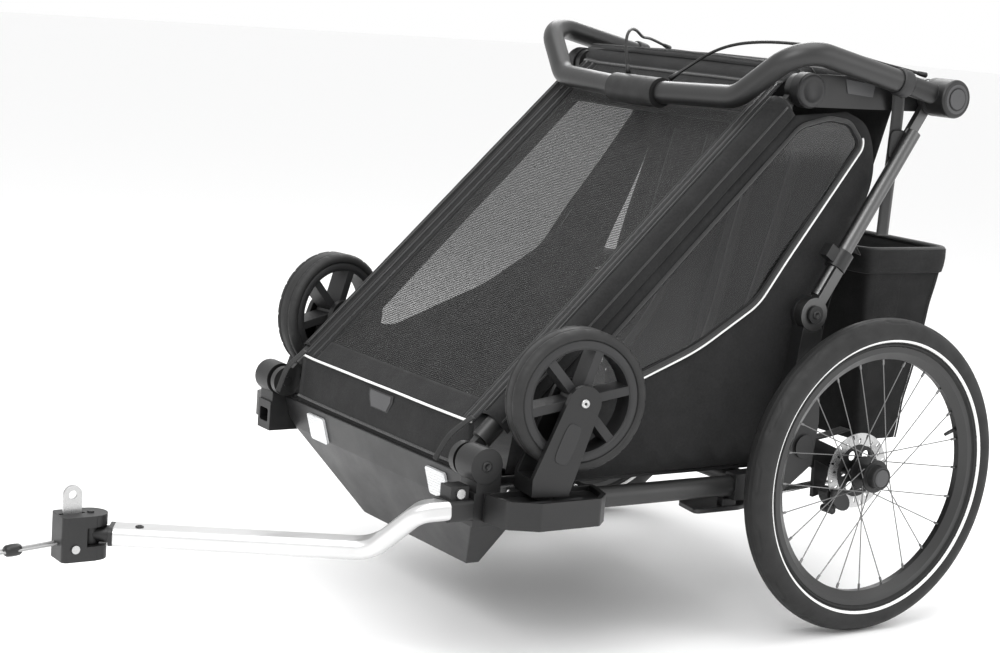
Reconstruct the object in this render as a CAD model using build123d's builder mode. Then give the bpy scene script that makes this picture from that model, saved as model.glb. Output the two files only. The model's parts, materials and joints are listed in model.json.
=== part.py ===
from build123d import *
import os
from math import cos, hypot, pi, radians, sin, tan

# A two-seat child bicycle trailer, in millimetres.
# The origin is on the ground under the middle of the wheel axle. -Y is forward, +X is the
# trailer's left side, where the tow arm is, and +Z is up.

os.makedirs("parts", exist_ok=True)

# ---------------------------------------------------------------- driving dimensions
# Side frame pivots, as (y, z), seen from the side. The front tube, the top arm and the rear
# tube are the three moving links, and the chassis is the fixed one.
nose_pivot = (-695, 300)
top_pivot = (-137, 840)
rear_pivot = (110, 840)
elbow_pivot = (-110, 500)

fold_pin_radius = 8  # the pins of the folding side frame
running_gap = 0.05  # a shaft in its bore
side_gap = 2  # between links that pass side by side
face_gap = 0.5  # between a moving piece and what it sits against
loose_pin_gap = 7  # the rear tube's top eye round its pin

# Width: everything at the sides is set from the side panels.
panel_x = 286
cloth = 3
front_tube_x = panel_x - 11
rear_tube_x = panel_x + 30
side_tube_x = panel_x + 26
wheel_x = panel_x + 90
arm_x = panel_x - 9
bar_x = panel_x + 51
bracket_x = panel_x + cloth + 1

# Side frame, from the inside out
front_tube_radius = 13
front_eye_width = 12
link_eye_radius = 26
top_arm_height = 50
rear_tube_radius = 12
rear_eye_width = 10
hub_ring_width = 8
hub_radius = 30
hub_width = 41
bar_button_depth = 8
bar_button_radius = 16

# Chassis
side_tube_radius = 16
side_tube_z = 235
side_tube_front_y = -560
side_tube_rear_y = -150
cross_tube_y = (-550, -185)
floor_thickness = 4
floor_half_width = panel_x - 6
floor_front_y = -570
floor_rear_y = -160

# Nose brackets and docks
bracket_width = 42
bracket_front_y = -712
bracket_rear_y = -505
bracket_bottom_z = 214
bracket_top_z = 262
socket_width = 28
socket_height = 22
socket_depth = 62
dock_bottom_z = 222
dock_top_z = 262
dock_tray_depth = 8
dock_rim = 7
bracket_outer_x = bracket_x + bracket_width
nose_cap_x = bracket_outer_x + 1

# Bumper
bumper_half_width = bracket_x - 1
bumper_bottom_half_width = 155
bumper_wall = 4
bumper_top_z = 271
bumper_shoulder_z = 240
bumper_crease = (-672, 222)
bumper_bottom = (-600, 102)
bumper_top_y = -686
bumper_rear_y = -578

# Big wheels
wheel_radius = 250
tyre_width = 47
rim_outer_radius = wheel_radius - 43
rim_inner_radius = wheel_radius - 64
rim_width = 27
spoke_count = 24
spoke_radius = 0.9
nipple_radius = 2
nipple_length = 9
hub_flange_radius = 26
hub_shell_radius = 13
axle_radius = 6
disc_outer_radius = 60.5
disc_inner_radius = 42
disc_thickness = 2
wheel_button_radius = 14
wheel_button_travel = 3

# Suspension
suspension_pivot = (-105, 292)
arm_width = 24
arm_boss_radius = 22
leaf_thickness = 3
leaf_width = 20

# Stowed stroller wheels
stem_radius = 15
stem_x = bracket_outer_x + 19
stem_y = -610
caster_trail = 40
caster_axle_z = 396
caster_radius = 102.5
caster_width = 44
caster_rim_radius = 88
caster_toe = 11
caster_pin_radius = 5
fork_leg_thickness = 9

# Tow arm
arm_tube_width = 48
arm_tube_height = 27
arm_tube_corner = 9
arm_start = (side_tube_x, -752, side_tube_z + 3)
arm_drop = (side_tube_x - 12, -778, 234)
arm_level = (234, -812, 166)
arm_end = (50, -1124, 165)
hitch_size = 50
hitch_bore_radius = 6.1
flag_thickness = 5

# Handlebar
bar_radius = 18
bar_corner = (bar_x - 6, -188, 905)
bar_lower_corner = (229, -220, 821)
bar_middle = (0, -236, 812)
grip_radius = 24
grip_half_length = 62

# Cabin
cover_half_width = front_tube_x - 15
cover_rise = 12
seat_half_width = panel_x - 64
seat_top_z = 299
bag_half_width = panel_x - 48
bag_wall = 3


# ---------------------------------------------------------------- helpers
def write(part, name):
    """One finished piece to its own file."""
    part.label = name
    export_step(part, f"parts/{name}.step")


def write_pair(part, name):
    """The left-hand piece, and its mirror image as the right-hand one."""
    write(part, f"{name}_left")
    with BuildPart() as right:
        mirror(part, about=Plane.YZ)
    write(right.part, f"{name}_right")


def write_both(part, name):
    """The left-hand piece and its mirror image, as two solids of one node."""
    with BuildPart() as both:
        add(part)
        mirror(part, about=Plane.YZ)
    write(both.part, name)


def side_plane(x, yz=(0, 0)):
    """A plane across the trailer at x, with its own x along +Y and its own y up."""
    return Plane(origin=(x, yz[0], yz[1]), x_dir=(0, 1, 0), z_dir=(1, 0, 0))


def span(start, end):
    """The distance from start to end, two (y, z) points."""
    return hypot(end[0] - start[0], end[1] - start[1])


def link_plane(x, start, end):
    """The side plane at x with its origin at start and its own x towards end."""
    towards = (0, end[0] - start[0], end[1] - start[1])
    return Plane(origin=(x, start[0], start[1]), x_dir=towards, z_dir=(1, 0, 0))


def as_large_as_allowed(points):
    """The arc radius at each corner of a cord's route: 0.45 of its shorter run."""
    radii = []
    for before, here, after in zip(points, points[1:], points[2:]):
        run_in, run_out = Vector(*here) - Vector(*before), Vector(*after) - Vector(*here)
        half_turn = radians(run_in.get_angle(run_out)) / 2
        radii.append(0.45 * min(run_in.length, run_out.length) / tan(half_turn))
    return radii


# ---------------------------------------------------------------- lower frame
with BuildPart() as side_tube:
    with BuildSketch(Plane.XZ.offset(-side_tube_rear_y)):
        with Locations((side_tube_x, side_tube_z)):
            Circle(side_tube_radius)
            Circle(side_tube_radius - 2, mode=Mode.SUBTRACT)
    extrude(amount=side_tube_rear_y - side_tube_front_y)
write_both(side_tube.part, "side_tubes")

# The front one ends at the nose brackets and the rear one at the side tubes.
with BuildPart() as cross_tubes:
    for tube_y, reach in zip(cross_tube_y, (bracket_x, side_tube_x - side_tube_radius)):
        with BuildSketch(side_plane(0, (tube_y, side_tube_z))):
            Circle(side_tube_radius - 2)
            Circle(side_tube_radius - 4, mode=Mode.SUBTRACT)
        extrude(amount=reach, both=True)
write(cross_tubes.part, "cross_tubes")

floor_bottom_z = side_tube_z + side_tube_radius + face_gap
with BuildPart() as floor_pan:
    with BuildSketch(Plane.XY.offset(floor_bottom_z)):
        with Locations((0, (floor_front_y + floor_rear_y) / 2)):
            Rectangle(2 * floor_half_width, floor_rear_y - floor_front_y)
    extrude(amount=floor_thickness)
write(floor_pan.part, "floor_pan")

# The bumper is a keel: its front leans back below the crease and its sides draw in.
def keel(inset, over):
    """The keel's form, inset by a wall, and carried on past its open top and back by over."""
    top_z, rear_y = bumper_top_z + over, bumper_rear_y + over
    bottom_z = bumper_bottom[1] + inset
    half, half_bottom = bumper_half_width - inset, bumper_bottom_half_width - inset
    with BuildPart() as form:
        with BuildSketch(Plane.YZ):
            with BuildLine():
                Polyline(
                    (bumper_top_y + inset, top_z),
                    (bumper_crease[0] + inset, bumper_crease[1]),
                    (bumper_bottom[0] + inset, bottom_z),
                    (rear_y, bottom_z),
                    (rear_y, top_z),
                    close=True,
                )
            make_face()
        extrude(amount=bumper_half_width, both=True)
        with BuildSketch(Plane.XZ):
            with BuildLine():
                Polyline(
                    (-half, top_z),
                    (-half, bumper_shoulder_z),
                    (-half_bottom, bottom_z),
                    (half_bottom, bottom_z),
                    (half, bumper_shoulder_z),
                    (half, top_z),
                    close=True,
                )
            make_face()
        extrude(amount=-2 * bumper_top_y, both=True, mode=Mode.INTERSECT)
        fillet(form.edges().filter_by(Axis.Z).group_by(Axis.Y)[0], radius=24 - inset)
    return form.part


with BuildPart() as bumper:
    add(keel(0, 0))
    add(keel(bumper_wall, 1), mode=Mode.SUBTRACT)
write(bumper.part, "bumper")

reflector_width, reflector_height, reflector_x, reflector_z = 54, 44, 184, 240
with BuildPart() as reflector:
    lean = (bumper_top_y - bumper_crease[0]) / (bumper_top_z - bumper_crease[1])
    reflector_y = bumper_crease[0] + lean * (reflector_z - bumper_crease[1])
    face = Plane(
        origin=(reflector_x, reflector_y, reflector_z), x_dir=(1, 0, 0), z_dir=(0, -1, lean)
    )
    with BuildSketch(face.offset(face_gap)):
        RectangleRounded(reflector_width, reflector_height, 5)
    extrude(amount=4)
write_both(reflector.part, "reflectors")

# The dock is a six-sided tray with the bore that a stroller wheel's stem stands in.
dock_inner_x = bracket_outer_x - 2
dock_outer_x = bracket_outer_x + 76
with BuildPart() as dock:
    with BuildSketch(Plane.XY.offset(dock_bottom_z)):
        with BuildLine():
            Polyline(
                (dock_inner_x, -508),
                (dock_outer_x - 22, -524),
                (dock_outer_x, -548),
                (dock_outer_x, -650),
                (dock_outer_x - 24, -690),
                (dock_inner_x, -700),
                close=True,
            )
        make_face()
    extrude(amount=dock_top_z - dock_bottom_z)
    fillet(dock.edges().filter_by(Axis.Z), radius=9)
    with BuildSketch(Plane.XY.offset(dock_top_z)):
        add(dock.faces().sort_by(Axis.Z)[-1])
        offset(amount=-dock_rim, mode=Mode.REPLACE)
    extrude(amount=-dock_tray_depth, mode=Mode.SUBTRACT)
    with BuildSketch(Plane.XY.offset(dock_bottom_z)):
        with Locations((stem_x, stem_y)):
            Circle(stem_radius + running_gap)
    extrude(amount=dock_top_z, mode=Mode.SUBTRACT)

# The nose bracket is moulded with the dock. It carries the front tube's pivot and the side
# tube and, in its front face, the socket that a tow arm slides into.
socket_z = arm_start[2]
with BuildPart() as nose_bracket:
    with BuildSketch(side_plane(bracket_x)):
        with BuildLine():
            Polyline(
                (bracket_front_y, bracket_bottom_z),
                (bracket_rear_y, bracket_bottom_z),
                (bracket_rear_y, bracket_top_z - 6),
                (bracket_rear_y - 40, bracket_top_z),
                (bracket_front_y, bracket_top_z),
                close=True,
            )
        make_face()
        with Locations(nose_pivot):
            Circle(link_eye_radius)
        with Locations((nose_pivot[0] + 6, (nose_pivot[1] + bracket_bottom_z) / 2)):
            Rectangle(40, nose_pivot[1] - bracket_bottom_z)
    extrude(amount=bracket_width)
    with BuildSketch(side_plane(bracket_outer_x, nose_pivot)):
        Circle(link_eye_radius)
    extrude(amount=nose_cap_x - bracket_outer_x)
    with BuildSketch(side_plane(bracket_x, nose_pivot)):
        Circle(fold_pin_radius)
    extrude(amount=front_tube_x - front_eye_width / 2 - bracket_x - 3)
    with BuildSketch(Plane.XZ.offset(-bracket_rear_y)):
        with Locations((side_tube_x, side_tube_z)):
            Circle(side_tube_radius + running_gap)
    extrude(amount=bracket_rear_y - side_tube_front_y, mode=Mode.SUBTRACT)
    with BuildSketch(Plane.XZ.offset(-bracket_front_y)):
        with Locations((arm_start[0], socket_z)):
            RectangleRounded(socket_width, socket_height, 4)
    extrude(amount=-socket_depth, mode=Mode.SUBTRACT)
    add(dock.part)
write_both(nose_bracket.part, "nose_brackets")

# The rear bracket stands on the side tube. Its inner block holds the suspension pivot and its
# outer post carries the rear tube's elbow pivot and the drag strut's foot.
post_inner_x = rear_tube_x - rear_tube_radius
post_outer_x = rear_tube_x + rear_tube_radius + 2
post_cheek = 8
with BuildPart() as rear_bracket:
    with BuildSketch(side_plane(post_inner_x)):
        with BuildLine():
            Polyline(
                (-235, 215),
                (-150, 215),
                (-84, 262),
                (-78, 330),
                (elbow_pivot[0] + 18, elbow_pivot[1] - 20),
                (elbow_pivot[0] - 18, elbow_pivot[1] - 10),
                (-150, 330),
                (-170, 258),
                (-235, 256),
                close=True,
            )
        make_face()
    extrude(amount=post_outer_x - post_inner_x)
    with BuildSketch(side_plane(post_inner_x, elbow_pivot)):
        Circle(link_eye_radius)
    extrude(amount=post_cheek)
    with BuildSketch(side_plane(post_inner_x + post_cheek, elbow_pivot)):
        Circle(link_eye_radius + 1)
    extrude(amount=post_outer_x, mode=Mode.SUBTRACT)
    with BuildSketch(side_plane(post_inner_x, elbow_pivot)):
        Circle(fold_pin_radius)
    extrude(amount=post_outer_x - post_inner_x + 4)
    with BuildSketch(side_plane(post_outer_x + 1, elbow_pivot)):
        Circle(14)
    extrude(amount=4)
    with BuildSketch(side_plane(post_inner_x, suspension_pivot)):
        Circle(fold_pin_radius)
    extrude(amount=arm_x - post_inner_x - 3)
    with BuildSketch(side_plane(post_outer_x, suspension_pivot)):
        Circle(19)
    extrude(amount=4)
    with BuildSketch(Plane.XZ.offset(-side_tube_rear_y)):
        with Locations((side_tube_x, side_tube_z)):
            Circle(side_tube_radius + running_gap)
    extrude(amount=90, mode=Mode.SUBTRACT)
write_both(rear_bracket.part, "rear_brackets")

# Flat skid under the rear end of the floor.
with BuildPart() as skid:
    with BuildSketch(Plane.XY.offset(196)):
        with BuildLine():
            Polyline(
                (side_tube_x - 62, -150),
                (side_tube_x - 12, -160),
                (side_tube_x + 6, -215),
                (side_tube_x + 6, -300),
                (side_tube_x - 50, -290),
                close=True,
            )
        make_face()
    extrude(amount=7)
    fillet(skid.edges().filter_by(Axis.Z), radius=8)
    with BuildSketch(Plane.XY.offset(203)):
        with Locations((side_tube_x - 4, -232), (side_tube_x - 42, -185)):
            Rectangle(14, 26)
    extrude(amount=12)
write_both(skid.part, "skids")

# ---------------------------------------------------------------- folding side frame
front_length = span(nose_pivot, top_pivot)
with BuildPart() as front_tube:
    with BuildSketch(link_plane(front_tube_x - front_eye_width / 2, nose_pivot, top_pivot)):
        with Locations((0, 0), (front_length, 0)):
            Circle(link_eye_radius - 2)
        with Locations((front_length / 2, 0)):
            Rectangle(front_length, 1.4 * front_tube_radius)
    extrude(amount=front_eye_width)
    tube_end = Plane(
        origin=(front_tube_x, nose_pivot[0], nose_pivot[1]),
        x_dir=(1, 0, 0),
        z_dir=(0, top_pivot[0] - nose_pivot[0], top_pivot[1] - nose_pivot[1]),
    )
    with BuildSketch(tube_end.offset(link_eye_radius + 8)):
        Ellipse(front_tube_radius, 1.25 * front_tube_radius)
    extrude(amount=front_length - 2 * link_eye_radius - 16)
    with BuildSketch(link_plane(front_tube_x - front_eye_width, nose_pivot, top_pivot)):
        with Locations((0, 0), (front_length, 0)):
            Circle(fold_pin_radius + running_gap)
    extrude(amount=2 * front_eye_width, mode=Mode.SUBTRACT)
write_both(front_tube.part, "front_tubes")

cross_back, cross_drop = 70, 6
with BuildPart() as front_cross_tube:
    cross = link_plane(0, nose_pivot, top_pivot)
    with BuildSketch(cross):
        with Locations((front_length - cross_back, -cross_drop)):
            Circle(10)
    extrude(amount=front_tube_x - front_tube_radius - face_gap, both=True)
write(front_cross_tube.part, "front_cross_tube")

arm_plate_inner_x = front_tube_x + front_eye_width / 2 + side_gap
top_arm_outer_x = post_inner_x - side_gap
top_length = span(top_pivot, rear_pivot)
hub_ring_x = rear_tube_x - rear_tube_radius + rear_eye_width + side_gap
hub_x = hub_ring_x + hub_ring_width + face_gap
hub_outer_x = hub_x + hub_width
with BuildPart() as top_arm:
    with BuildSketch(link_plane(arm_plate_inner_x, top_pivot, rear_pivot)):
        with Locations((0, 0), (top_length, 0)):
            Circle(link_eye_radius + 1)
        with Locations((top_length / 2, 0)):
            Rectangle(top_length, top_arm_height)
    extrude(amount=top_arm_outer_x - arm_plate_inner_x)
    with BuildSketch(side_plane(arm_plate_inner_x, top_pivot)):
        Circle(fold_pin_radius)
    extrude(amount=-side_gap - front_eye_width - 3)
    with BuildSketch(side_plane(top_arm_outer_x, rear_pivot)):
        Circle(fold_pin_radius)
    extrude(amount=hub_outer_x - bar_button_depth - top_arm_outer_x)
write_both(top_arm.part, "top_arms")

rear_length = span(elbow_pivot, rear_pivot)
rear_eye_x = post_inner_x + post_cheek + face_gap
with BuildPart() as rear_tube:
    with BuildSketch(link_plane(rear_eye_x, elbow_pivot, rear_pivot)):
        Circle(link_eye_radius)
        with Locations((rear_length / 10, 0)):
            Rectangle(rear_length / 5, 1.5 * rear_tube_radius)
        Circle(fold_pin_radius + running_gap, mode=Mode.SUBTRACT)
    extrude(amount=post_outer_x - rear_eye_x)
    with BuildSketch(link_plane(post_inner_x, elbow_pivot, rear_pivot)):
        with Locations((rear_length, 0)):
            Circle(link_eye_radius)
        with Locations((rear_length - 50, 0)):
            Rectangle(100, 1.5 * rear_tube_radius)
        with Locations((rear_length, 0)):
            Circle(fold_pin_radius + loose_pin_gap, mode=Mode.SUBTRACT)
    extrude(amount=rear_eye_width)
    rear_tube_end = Plane(
        origin=(rear_tube_x, elbow_pivot[0], elbow_pivot[1]),
        x_dir=(1, 0, 0),
        z_dir=(0, rear_pivot[0] - elbow_pivot[0], rear_pivot[1] - elbow_pivot[1]),
    )
    with BuildSketch(rear_tube_end.offset(link_eye_radius + 4)):
        Circle(rear_tube_radius)
    extrude(amount=rear_length - link_eye_radius - 4 - 68)
write_both(rear_tube.part, "rear_tubes")

# The lock sleeve slides up the rear tube to free the fold. Its lever stands out behind.
sleeve_at, sleeve_length = 82, 30
with BuildPart() as lock_sleeve:
    with BuildSketch(rear_tube_end.offset(sleeve_at)):
        Circle(rear_tube_radius + 5)
    extrude(amount=sleeve_length)
    with BuildSketch(rear_tube_end.offset(sleeve_at + 4)):
        with Locations((0, -rear_tube_radius - 12)):
            Rectangle(16, 20)
    extrude(amount=sleeve_length - 8)
    with BuildSketch(rear_tube_end.offset(sleeve_at)):
        Circle(rear_tube_radius + running_gap)
    extrude(amount=sleeve_length, mode=Mode.SUBTRACT)
write_pair(lock_sleeve.part, "lock_sleeve")

# ---------------------------------------------------------------- handlebar
with BuildPart() as hub_ring:
    with BuildSketch(side_plane(hub_ring_x, rear_pivot)):
        Circle(hub_radius)
        Circle(fold_pin_radius + running_gap, mode=Mode.SUBTRACT)
    extrude(amount=hub_ring_width)
write_both(hub_ring.part, "hub_rings")

bar_plane = Plane(
    origin=(bar_x, rear_pivot[0], rear_pivot[1]),
    x_dir=(1, 0, 0),
    z_dir=(bar_corner[0] - bar_x, bar_corner[1] - rear_pivot[0], bar_corner[2] - rear_pivot[1]),
)
cup_length = 88
with BuildPart() as bar_end:
    with BuildSketch(side_plane(hub_x, rear_pivot)):
        Circle(hub_radius)
    extrude(amount=hub_width)
    fillet(bar_end.edges().group_by(Axis.X)[-1], radius=5)
    with BuildSketch(bar_plane):
        Circle(bar_radius - 2)
    extrude(amount=cup_length)
    with BuildSketch(side_plane(hub_x, rear_pivot)):
        Circle(fold_pin_radius + running_gap)
    extrude(amount=hub_width - 3, mode=Mode.SUBTRACT)
    with BuildSketch(side_plane(hub_outer_x, rear_pivot)):
        Circle(bar_button_radius + running_gap)
    extrude(amount=-bar_button_depth, mode=Mode.SUBTRACT)
    with BuildSketch(side_plane(hub_ring_x, rear_pivot)):
        Rectangle(4 * hub_radius, 4 * hub_radius)
    extrude(amount=hub_ring_width + face_gap, mode=Mode.SUBTRACT)
write_both(bar_end.part, "handlebar_ends")

with BuildPart() as bar_button:
    with BuildSketch(side_plane(hub_outer_x - 4, rear_pivot)):
        Circle(bar_button_radius)
    extrude(amount=6)
    fillet(bar_button.edges().group_by(Axis.X)[-1], radius=1.5)
write_pair(bar_button.part, "handlebar_button")

# The twist brake grip turns on the thin core of the bar's middle.
grip_centre = (bar_middle[1] + 3, bar_middle[2] + 1)
grip_core_radius = 11
bar_start = bar_plane.origin + bar_plane.z_dir * cup_length
left_points = [tuple(bar_start), bar_corner, bar_lower_corner]
right_points = [(-x, y, z) for x, y, z in reversed(left_points)]
with BuildPart() as handlebar:
    with BuildLine() as bar_path:
        FilletPolyline(*left_points, bar_middle, *right_points, radius=[58, 52, 300, 52, 58])
    with BuildSketch(Plane(origin=bar_path.line @ 0, z_dir=bar_path.line % 0)):
        Circle(bar_radius)
    sweep()
    with BuildSketch(side_plane(0, bar_middle[1:])):
        Circle(3 * bar_radius)
    extrude(amount=grip_half_length, both=True, mode=Mode.SUBTRACT)
    with BuildSketch(side_plane(0, grip_centre)):
        Circle(grip_core_radius)
    extrude(amount=grip_half_length + 2, both=True)
write(handlebar.part, "handlebar")

with BuildPart() as brake_grip:
    with BuildSketch(side_plane(0, grip_centre)):
        Circle(grip_radius)
        Circle(grip_core_radius + running_gap, mode=Mode.SUBTRACT)
    extrude(amount=grip_half_length - 3, both=True)
write(brake_grip.part, "brake_grip")


# ---------------------------------------------------------------- big wheels
def wheel_plane(x):
    """A plane through the axle, its own x along the axle outwards and its own y radial."""
    return Plane(origin=(x, 0, wheel_radius), x_dir=(1, 0, 0), z_dir=(0, -1, 0))


axle_line = Axis((0, 0, wheel_radius), (1, 0, 0))
tyre_height = wheel_radius - rim_outer_radius
with BuildPart() as tyre:
    with BuildSketch(wheel_plane(wheel_x)):
        with Locations((0, rim_outer_radius + tyre_height / 2)):
            Ellipse(tyre_width / 2, tyre_height / 2 + 3)
        with Locations((0, rim_outer_radius - tyre_height)):
            Rectangle(2 * tyre_width, 2 * tyre_height, mode=Mode.SUBTRACT)
        with Locations((0, wheel_radius + tyre_height)):
            Rectangle(2 * tyre_width, 2 * tyre_height, mode=Mode.SUBTRACT)
    revolve(axis=axle_line)
write_pair(tyre.part, "tyre")

with BuildPart() as rim:
    with BuildSketch(wheel_plane(wheel_x)):
        with BuildLine():
            Polyline(
                (-rim_width / 2, rim_outer_radius),
                (-rim_width / 2, rim_outer_radius - 9),
                (-5, rim_inner_radius),
                (5, rim_inner_radius),
                (rim_width / 2, rim_outer_radius - 9),
                (rim_width / 2, rim_outer_radius),
                close=True,
            )
        make_face()
    revolve(axis=axle_line)
write_pair(rim.part, "rim")

# Hub, from its inner end at the brake carrier to its outer end round the release button.
hub_inner_x = wheel_x - 40
hub_outer_end_x = wheel_x + 24
inner_flange_x, outer_flange_x = wheel_x - 18, wheel_x + 10
disc_x = wheel_x - 32
button_hole_depth = 9
with BuildPart() as wheel_hub:
    with BuildSketch(wheel_plane(0)):
        with BuildLine():
            Polyline(
                (hub_inner_x, axle_radius + running_gap),
                (hub_inner_x, 14),
                (disc_x - 2, 14),
                (disc_x - 2, disc_inner_radius - face_gap),
                (disc_x + 2, disc_inner_radius - face_gap),
                (disc_x + 2, 14),
                (inner_flange_x - 1.5, hub_shell_radius),
                (inner_flange_x - 1.5, hub_flange_radius),
                (inner_flange_x + 1.5, hub_flange_radius),
                (inner_flange_x + 1.5, hub_shell_radius),
                (outer_flange_x - 1.5, hub_shell_radius),
                (outer_flange_x - 1.5, hub_flange_radius),
                (outer_flange_x + 1.5, hub_flange_radius),
                (outer_flange_x + 1.5, wheel_button_radius + 5),
                (hub_outer_end_x, wheel_button_radius + 3),
                (hub_outer_end_x, wheel_button_radius + running_gap),
                (hub_outer_end_x - button_hole_depth, wheel_button_radius + running_gap),
                (hub_outer_end_x - button_hole_depth, axle_radius + running_gap),
                close=True,
            )
        make_face()
    revolve(axis=axle_line)
    with BuildSketch(side_plane(disc_x - 4, (0, wheel_radius))):
        with PolarLocations(28, 6):
            Circle(8)
    extrude(amount=8, mode=Mode.SUBTRACT)
write_pair(wheel_hub.part, "wheel_hub")

with BuildPart() as brake_disc:
    with BuildSketch(side_plane(disc_x - disc_thickness / 2, (0, wheel_radius))):
        Circle(disc_outer_radius)
        Circle(disc_inner_radius, mode=Mode.SUBTRACT)
        with PolarLocations(48, 12):
            SlotOverall(8, 3.6, mode=Mode.SUBTRACT)
        with PolarLocations(55, 12, start_angle=15):
            SlotOverall(8, 3.6, mode=Mode.SUBTRACT)
    extrude(amount=disc_thickness)
write_pair(brake_disc.part, "brake_disc")


# Spokes are laced two-cross: each leaves its flange a sixth of a turn from its rim hole.
lace_turn = 2 * pi * 2 / (spoke_count / 2)
with BuildPart() as spokes:
    for number in range(spoke_count):
        rim_angle = 2 * pi * number / spoke_count
        flange_x = inner_flange_x if number % 2 else outer_flange_x
        leading = 1 if number % 4 < 2 else -1
        hub_angle = rim_angle + leading * lace_turn
        hub_r = hub_flange_radius + spoke_radius + face_gap
        rim_r = rim_inner_radius - face_gap
        foot_x = flange_x + leading * (spoke_radius + face_gap)
        foot = Vector(foot_x, hub_r * cos(hub_angle), wheel_radius + hub_r * sin(hub_angle))
        head = Vector(wheel_x, rim_r * cos(rim_angle), wheel_radius + rim_r * sin(rim_angle))
        run = head - foot
        with BuildSketch(Plane(origin=foot, z_dir=run)):
            Circle(spoke_radius)
        extrude(amount=run.length)
        nipple_foot = head - run.normalized() * nipple_length
        with BuildSketch(Plane(origin=nipple_foot, z_dir=run)):
            Circle(nipple_radius)
        extrude(amount=nipple_length - 1)
write_pair(spokes.part, "spokes")

with BuildPart() as wheel_button:
    with BuildSketch(wheel_plane(0)):
        with BuildLine():
            Polyline(
                (hub_outer_end_x - button_hole_depth + wheel_button_travel + 0.5, 0),
                (hub_outer_end_x - button_hole_depth + wheel_button_travel + 0.5, wheel_button_radius),
                (hub_outer_end_x + 1, wheel_button_radius),
                (hub_outer_end_x + 2.5, wheel_button_radius - 3),
                (hub_outer_end_x + 2.5, 0),
                close=True,
            )
        make_face()
    revolve(axis=axle_line)
write_pair(wheel_button.part, "wheel_button")

# ---------------------------------------------------------------- suspension
with BuildPart() as swing_arm:
    with BuildSketch(side_plane(arm_x)):
        with Locations(suspension_pivot):
            Circle(arm_boss_radius)
        with Locations((0, wheel_radius)):
            Circle(arm_boss_radius)
        make_hull()
        with Locations(suspension_pivot):
            Circle(fold_pin_radius + running_gap, mode=Mode.SUBTRACT)
    extrude(amount=arm_width)
    with BuildSketch(side_plane(arm_x + arm_width, (0, wheel_radius))):
        Circle(12)
    extrude(amount=hub_inner_x - face_gap - arm_x - arm_width)
    with BuildSketch(side_plane(arm_x + arm_width, (0, wheel_radius))):
        Circle(axle_radius)
    extrude(amount=hub_outer_end_x - button_hole_depth - 1 - arm_x - arm_width)
write_pair(swing_arm.part, "swing_arm")

# The leaf spring runs back under the arm, from a clamp block on the rear cross tube.
leaf_x = arm_x + arm_width / 2
leaf_front_z, leaf_rear_z = suspension_pivot[1] - 87, wheel_radius - 31
with BuildPart() as leaf_spring:
    with BuildSketch(side_plane(leaf_x - leaf_width / 2)):
        with BuildLine():
            Polyline(
                (-165, leaf_front_z),
                (-10, leaf_rear_z),
                (-10, leaf_rear_z + leaf_thickness),
                (-165, leaf_front_z + leaf_thickness),
                close=True,
            )
        make_face()
    extrude(amount=leaf_width)
write_both(leaf_spring.part, "leaf_springs")

# ---------------------------------------------------------------- stowed stroller wheels
def caster_plane(z):
    """Level plane at height z on the stem, its own y towards the wheel, toed in."""
    turn = radians(caster_toe)
    return Plane(origin=(stem_x, stem_y, z), x_dir=(cos(turn), -sin(turn), 0), z_dir=(0, 0, 1))


def caster_side(offset):
    """Plane across the stroller wheel's axle, offset from the wheel's middle."""
    level = caster_plane(0)
    origin = level.origin + level.x_dir * offset
    return Plane(origin=origin, x_dir=level.y_dir, z_dir=level.x_dir)


fork_inner = caster_width / 2 + 1.5
crown_top = 286
with BuildPart() as caster_fork:
    with BuildSketch(caster_plane(dock_bottom_z + 1)):
        Circle(stem_radius)
    extrude(amount=dock_top_z - dock_bottom_z + 4)
    with BuildSketch(caster_side(-fork_inner - fork_leg_thickness)):
        with Locations((-2, 1 + dock_top_z + (crown_top - dock_top_z) / 2)):
            Rectangle(58, crown_top - dock_top_z)
    extrude(amount=2 * (fork_inner + fork_leg_thickness))
    for leg_start in (-fork_inner - fork_leg_thickness, fork_inner):
        with BuildSketch(caster_side(leg_start)):
            with Locations((-2, crown_top - 8)):
                Rectangle(58, 20)
            with Locations((caster_trail, caster_axle_z)):
                Circle(25)
            make_hull()
        extrude(amount=fork_leg_thickness)
    with BuildSketch(caster_side(-fork_inner - fork_leg_thickness)):
        with Locations((caster_trail, caster_axle_z)):
            Circle(caster_pin_radius)
    extrude(amount=2 * (fork_inner + fork_leg_thickness) + 2)
write_pair(caster_fork.part, "caster_fork")

caster_axis_plane = caster_side(0)
caster_middle = (
    caster_axis_plane.origin
    + caster_axis_plane.x_dir * caster_trail
    + caster_axis_plane.y_dir * caster_axle_z
)
caster_axis = Axis(caster_middle, caster_axis_plane.z_dir)
caster_section = Plane(
    origin=caster_middle, x_dir=caster_axis_plane.z_dir, z_dir=caster_axis_plane.x_dir * -1
)
with BuildPart() as caster_tyre:
    with BuildSketch(caster_section):
        with Locations((0, (caster_rim_radius + caster_radius) / 2)):
            RectangleRounded(caster_width, caster_radius - caster_rim_radius, 6)
    revolve(axis=caster_axis)
write_pair(caster_tyre.part, "caster_tyre")

caster_rim_inner = caster_rim_radius - 14
with BuildPart() as caster_rim:
    with BuildSketch(caster_side(-caster_width / 2 + 3)):
        with Locations((caster_trail, caster_axle_z)):
            Circle(caster_rim_radius)
            Circle(caster_rim_inner, mode=Mode.SUBTRACT)
            Circle(17)
            for turn in range(6):
                with PolarLocations(caster_rim_inner / 2, 1, start_angle=60 * turn + 12):
                    Rectangle(caster_rim_inner, 13)
            Circle(caster_pin_radius + running_gap, mode=Mode.SUBTRACT)
    extrude(amount=caster_width - 6)
write_pair(caster_rim.part, "caster_rim")

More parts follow.
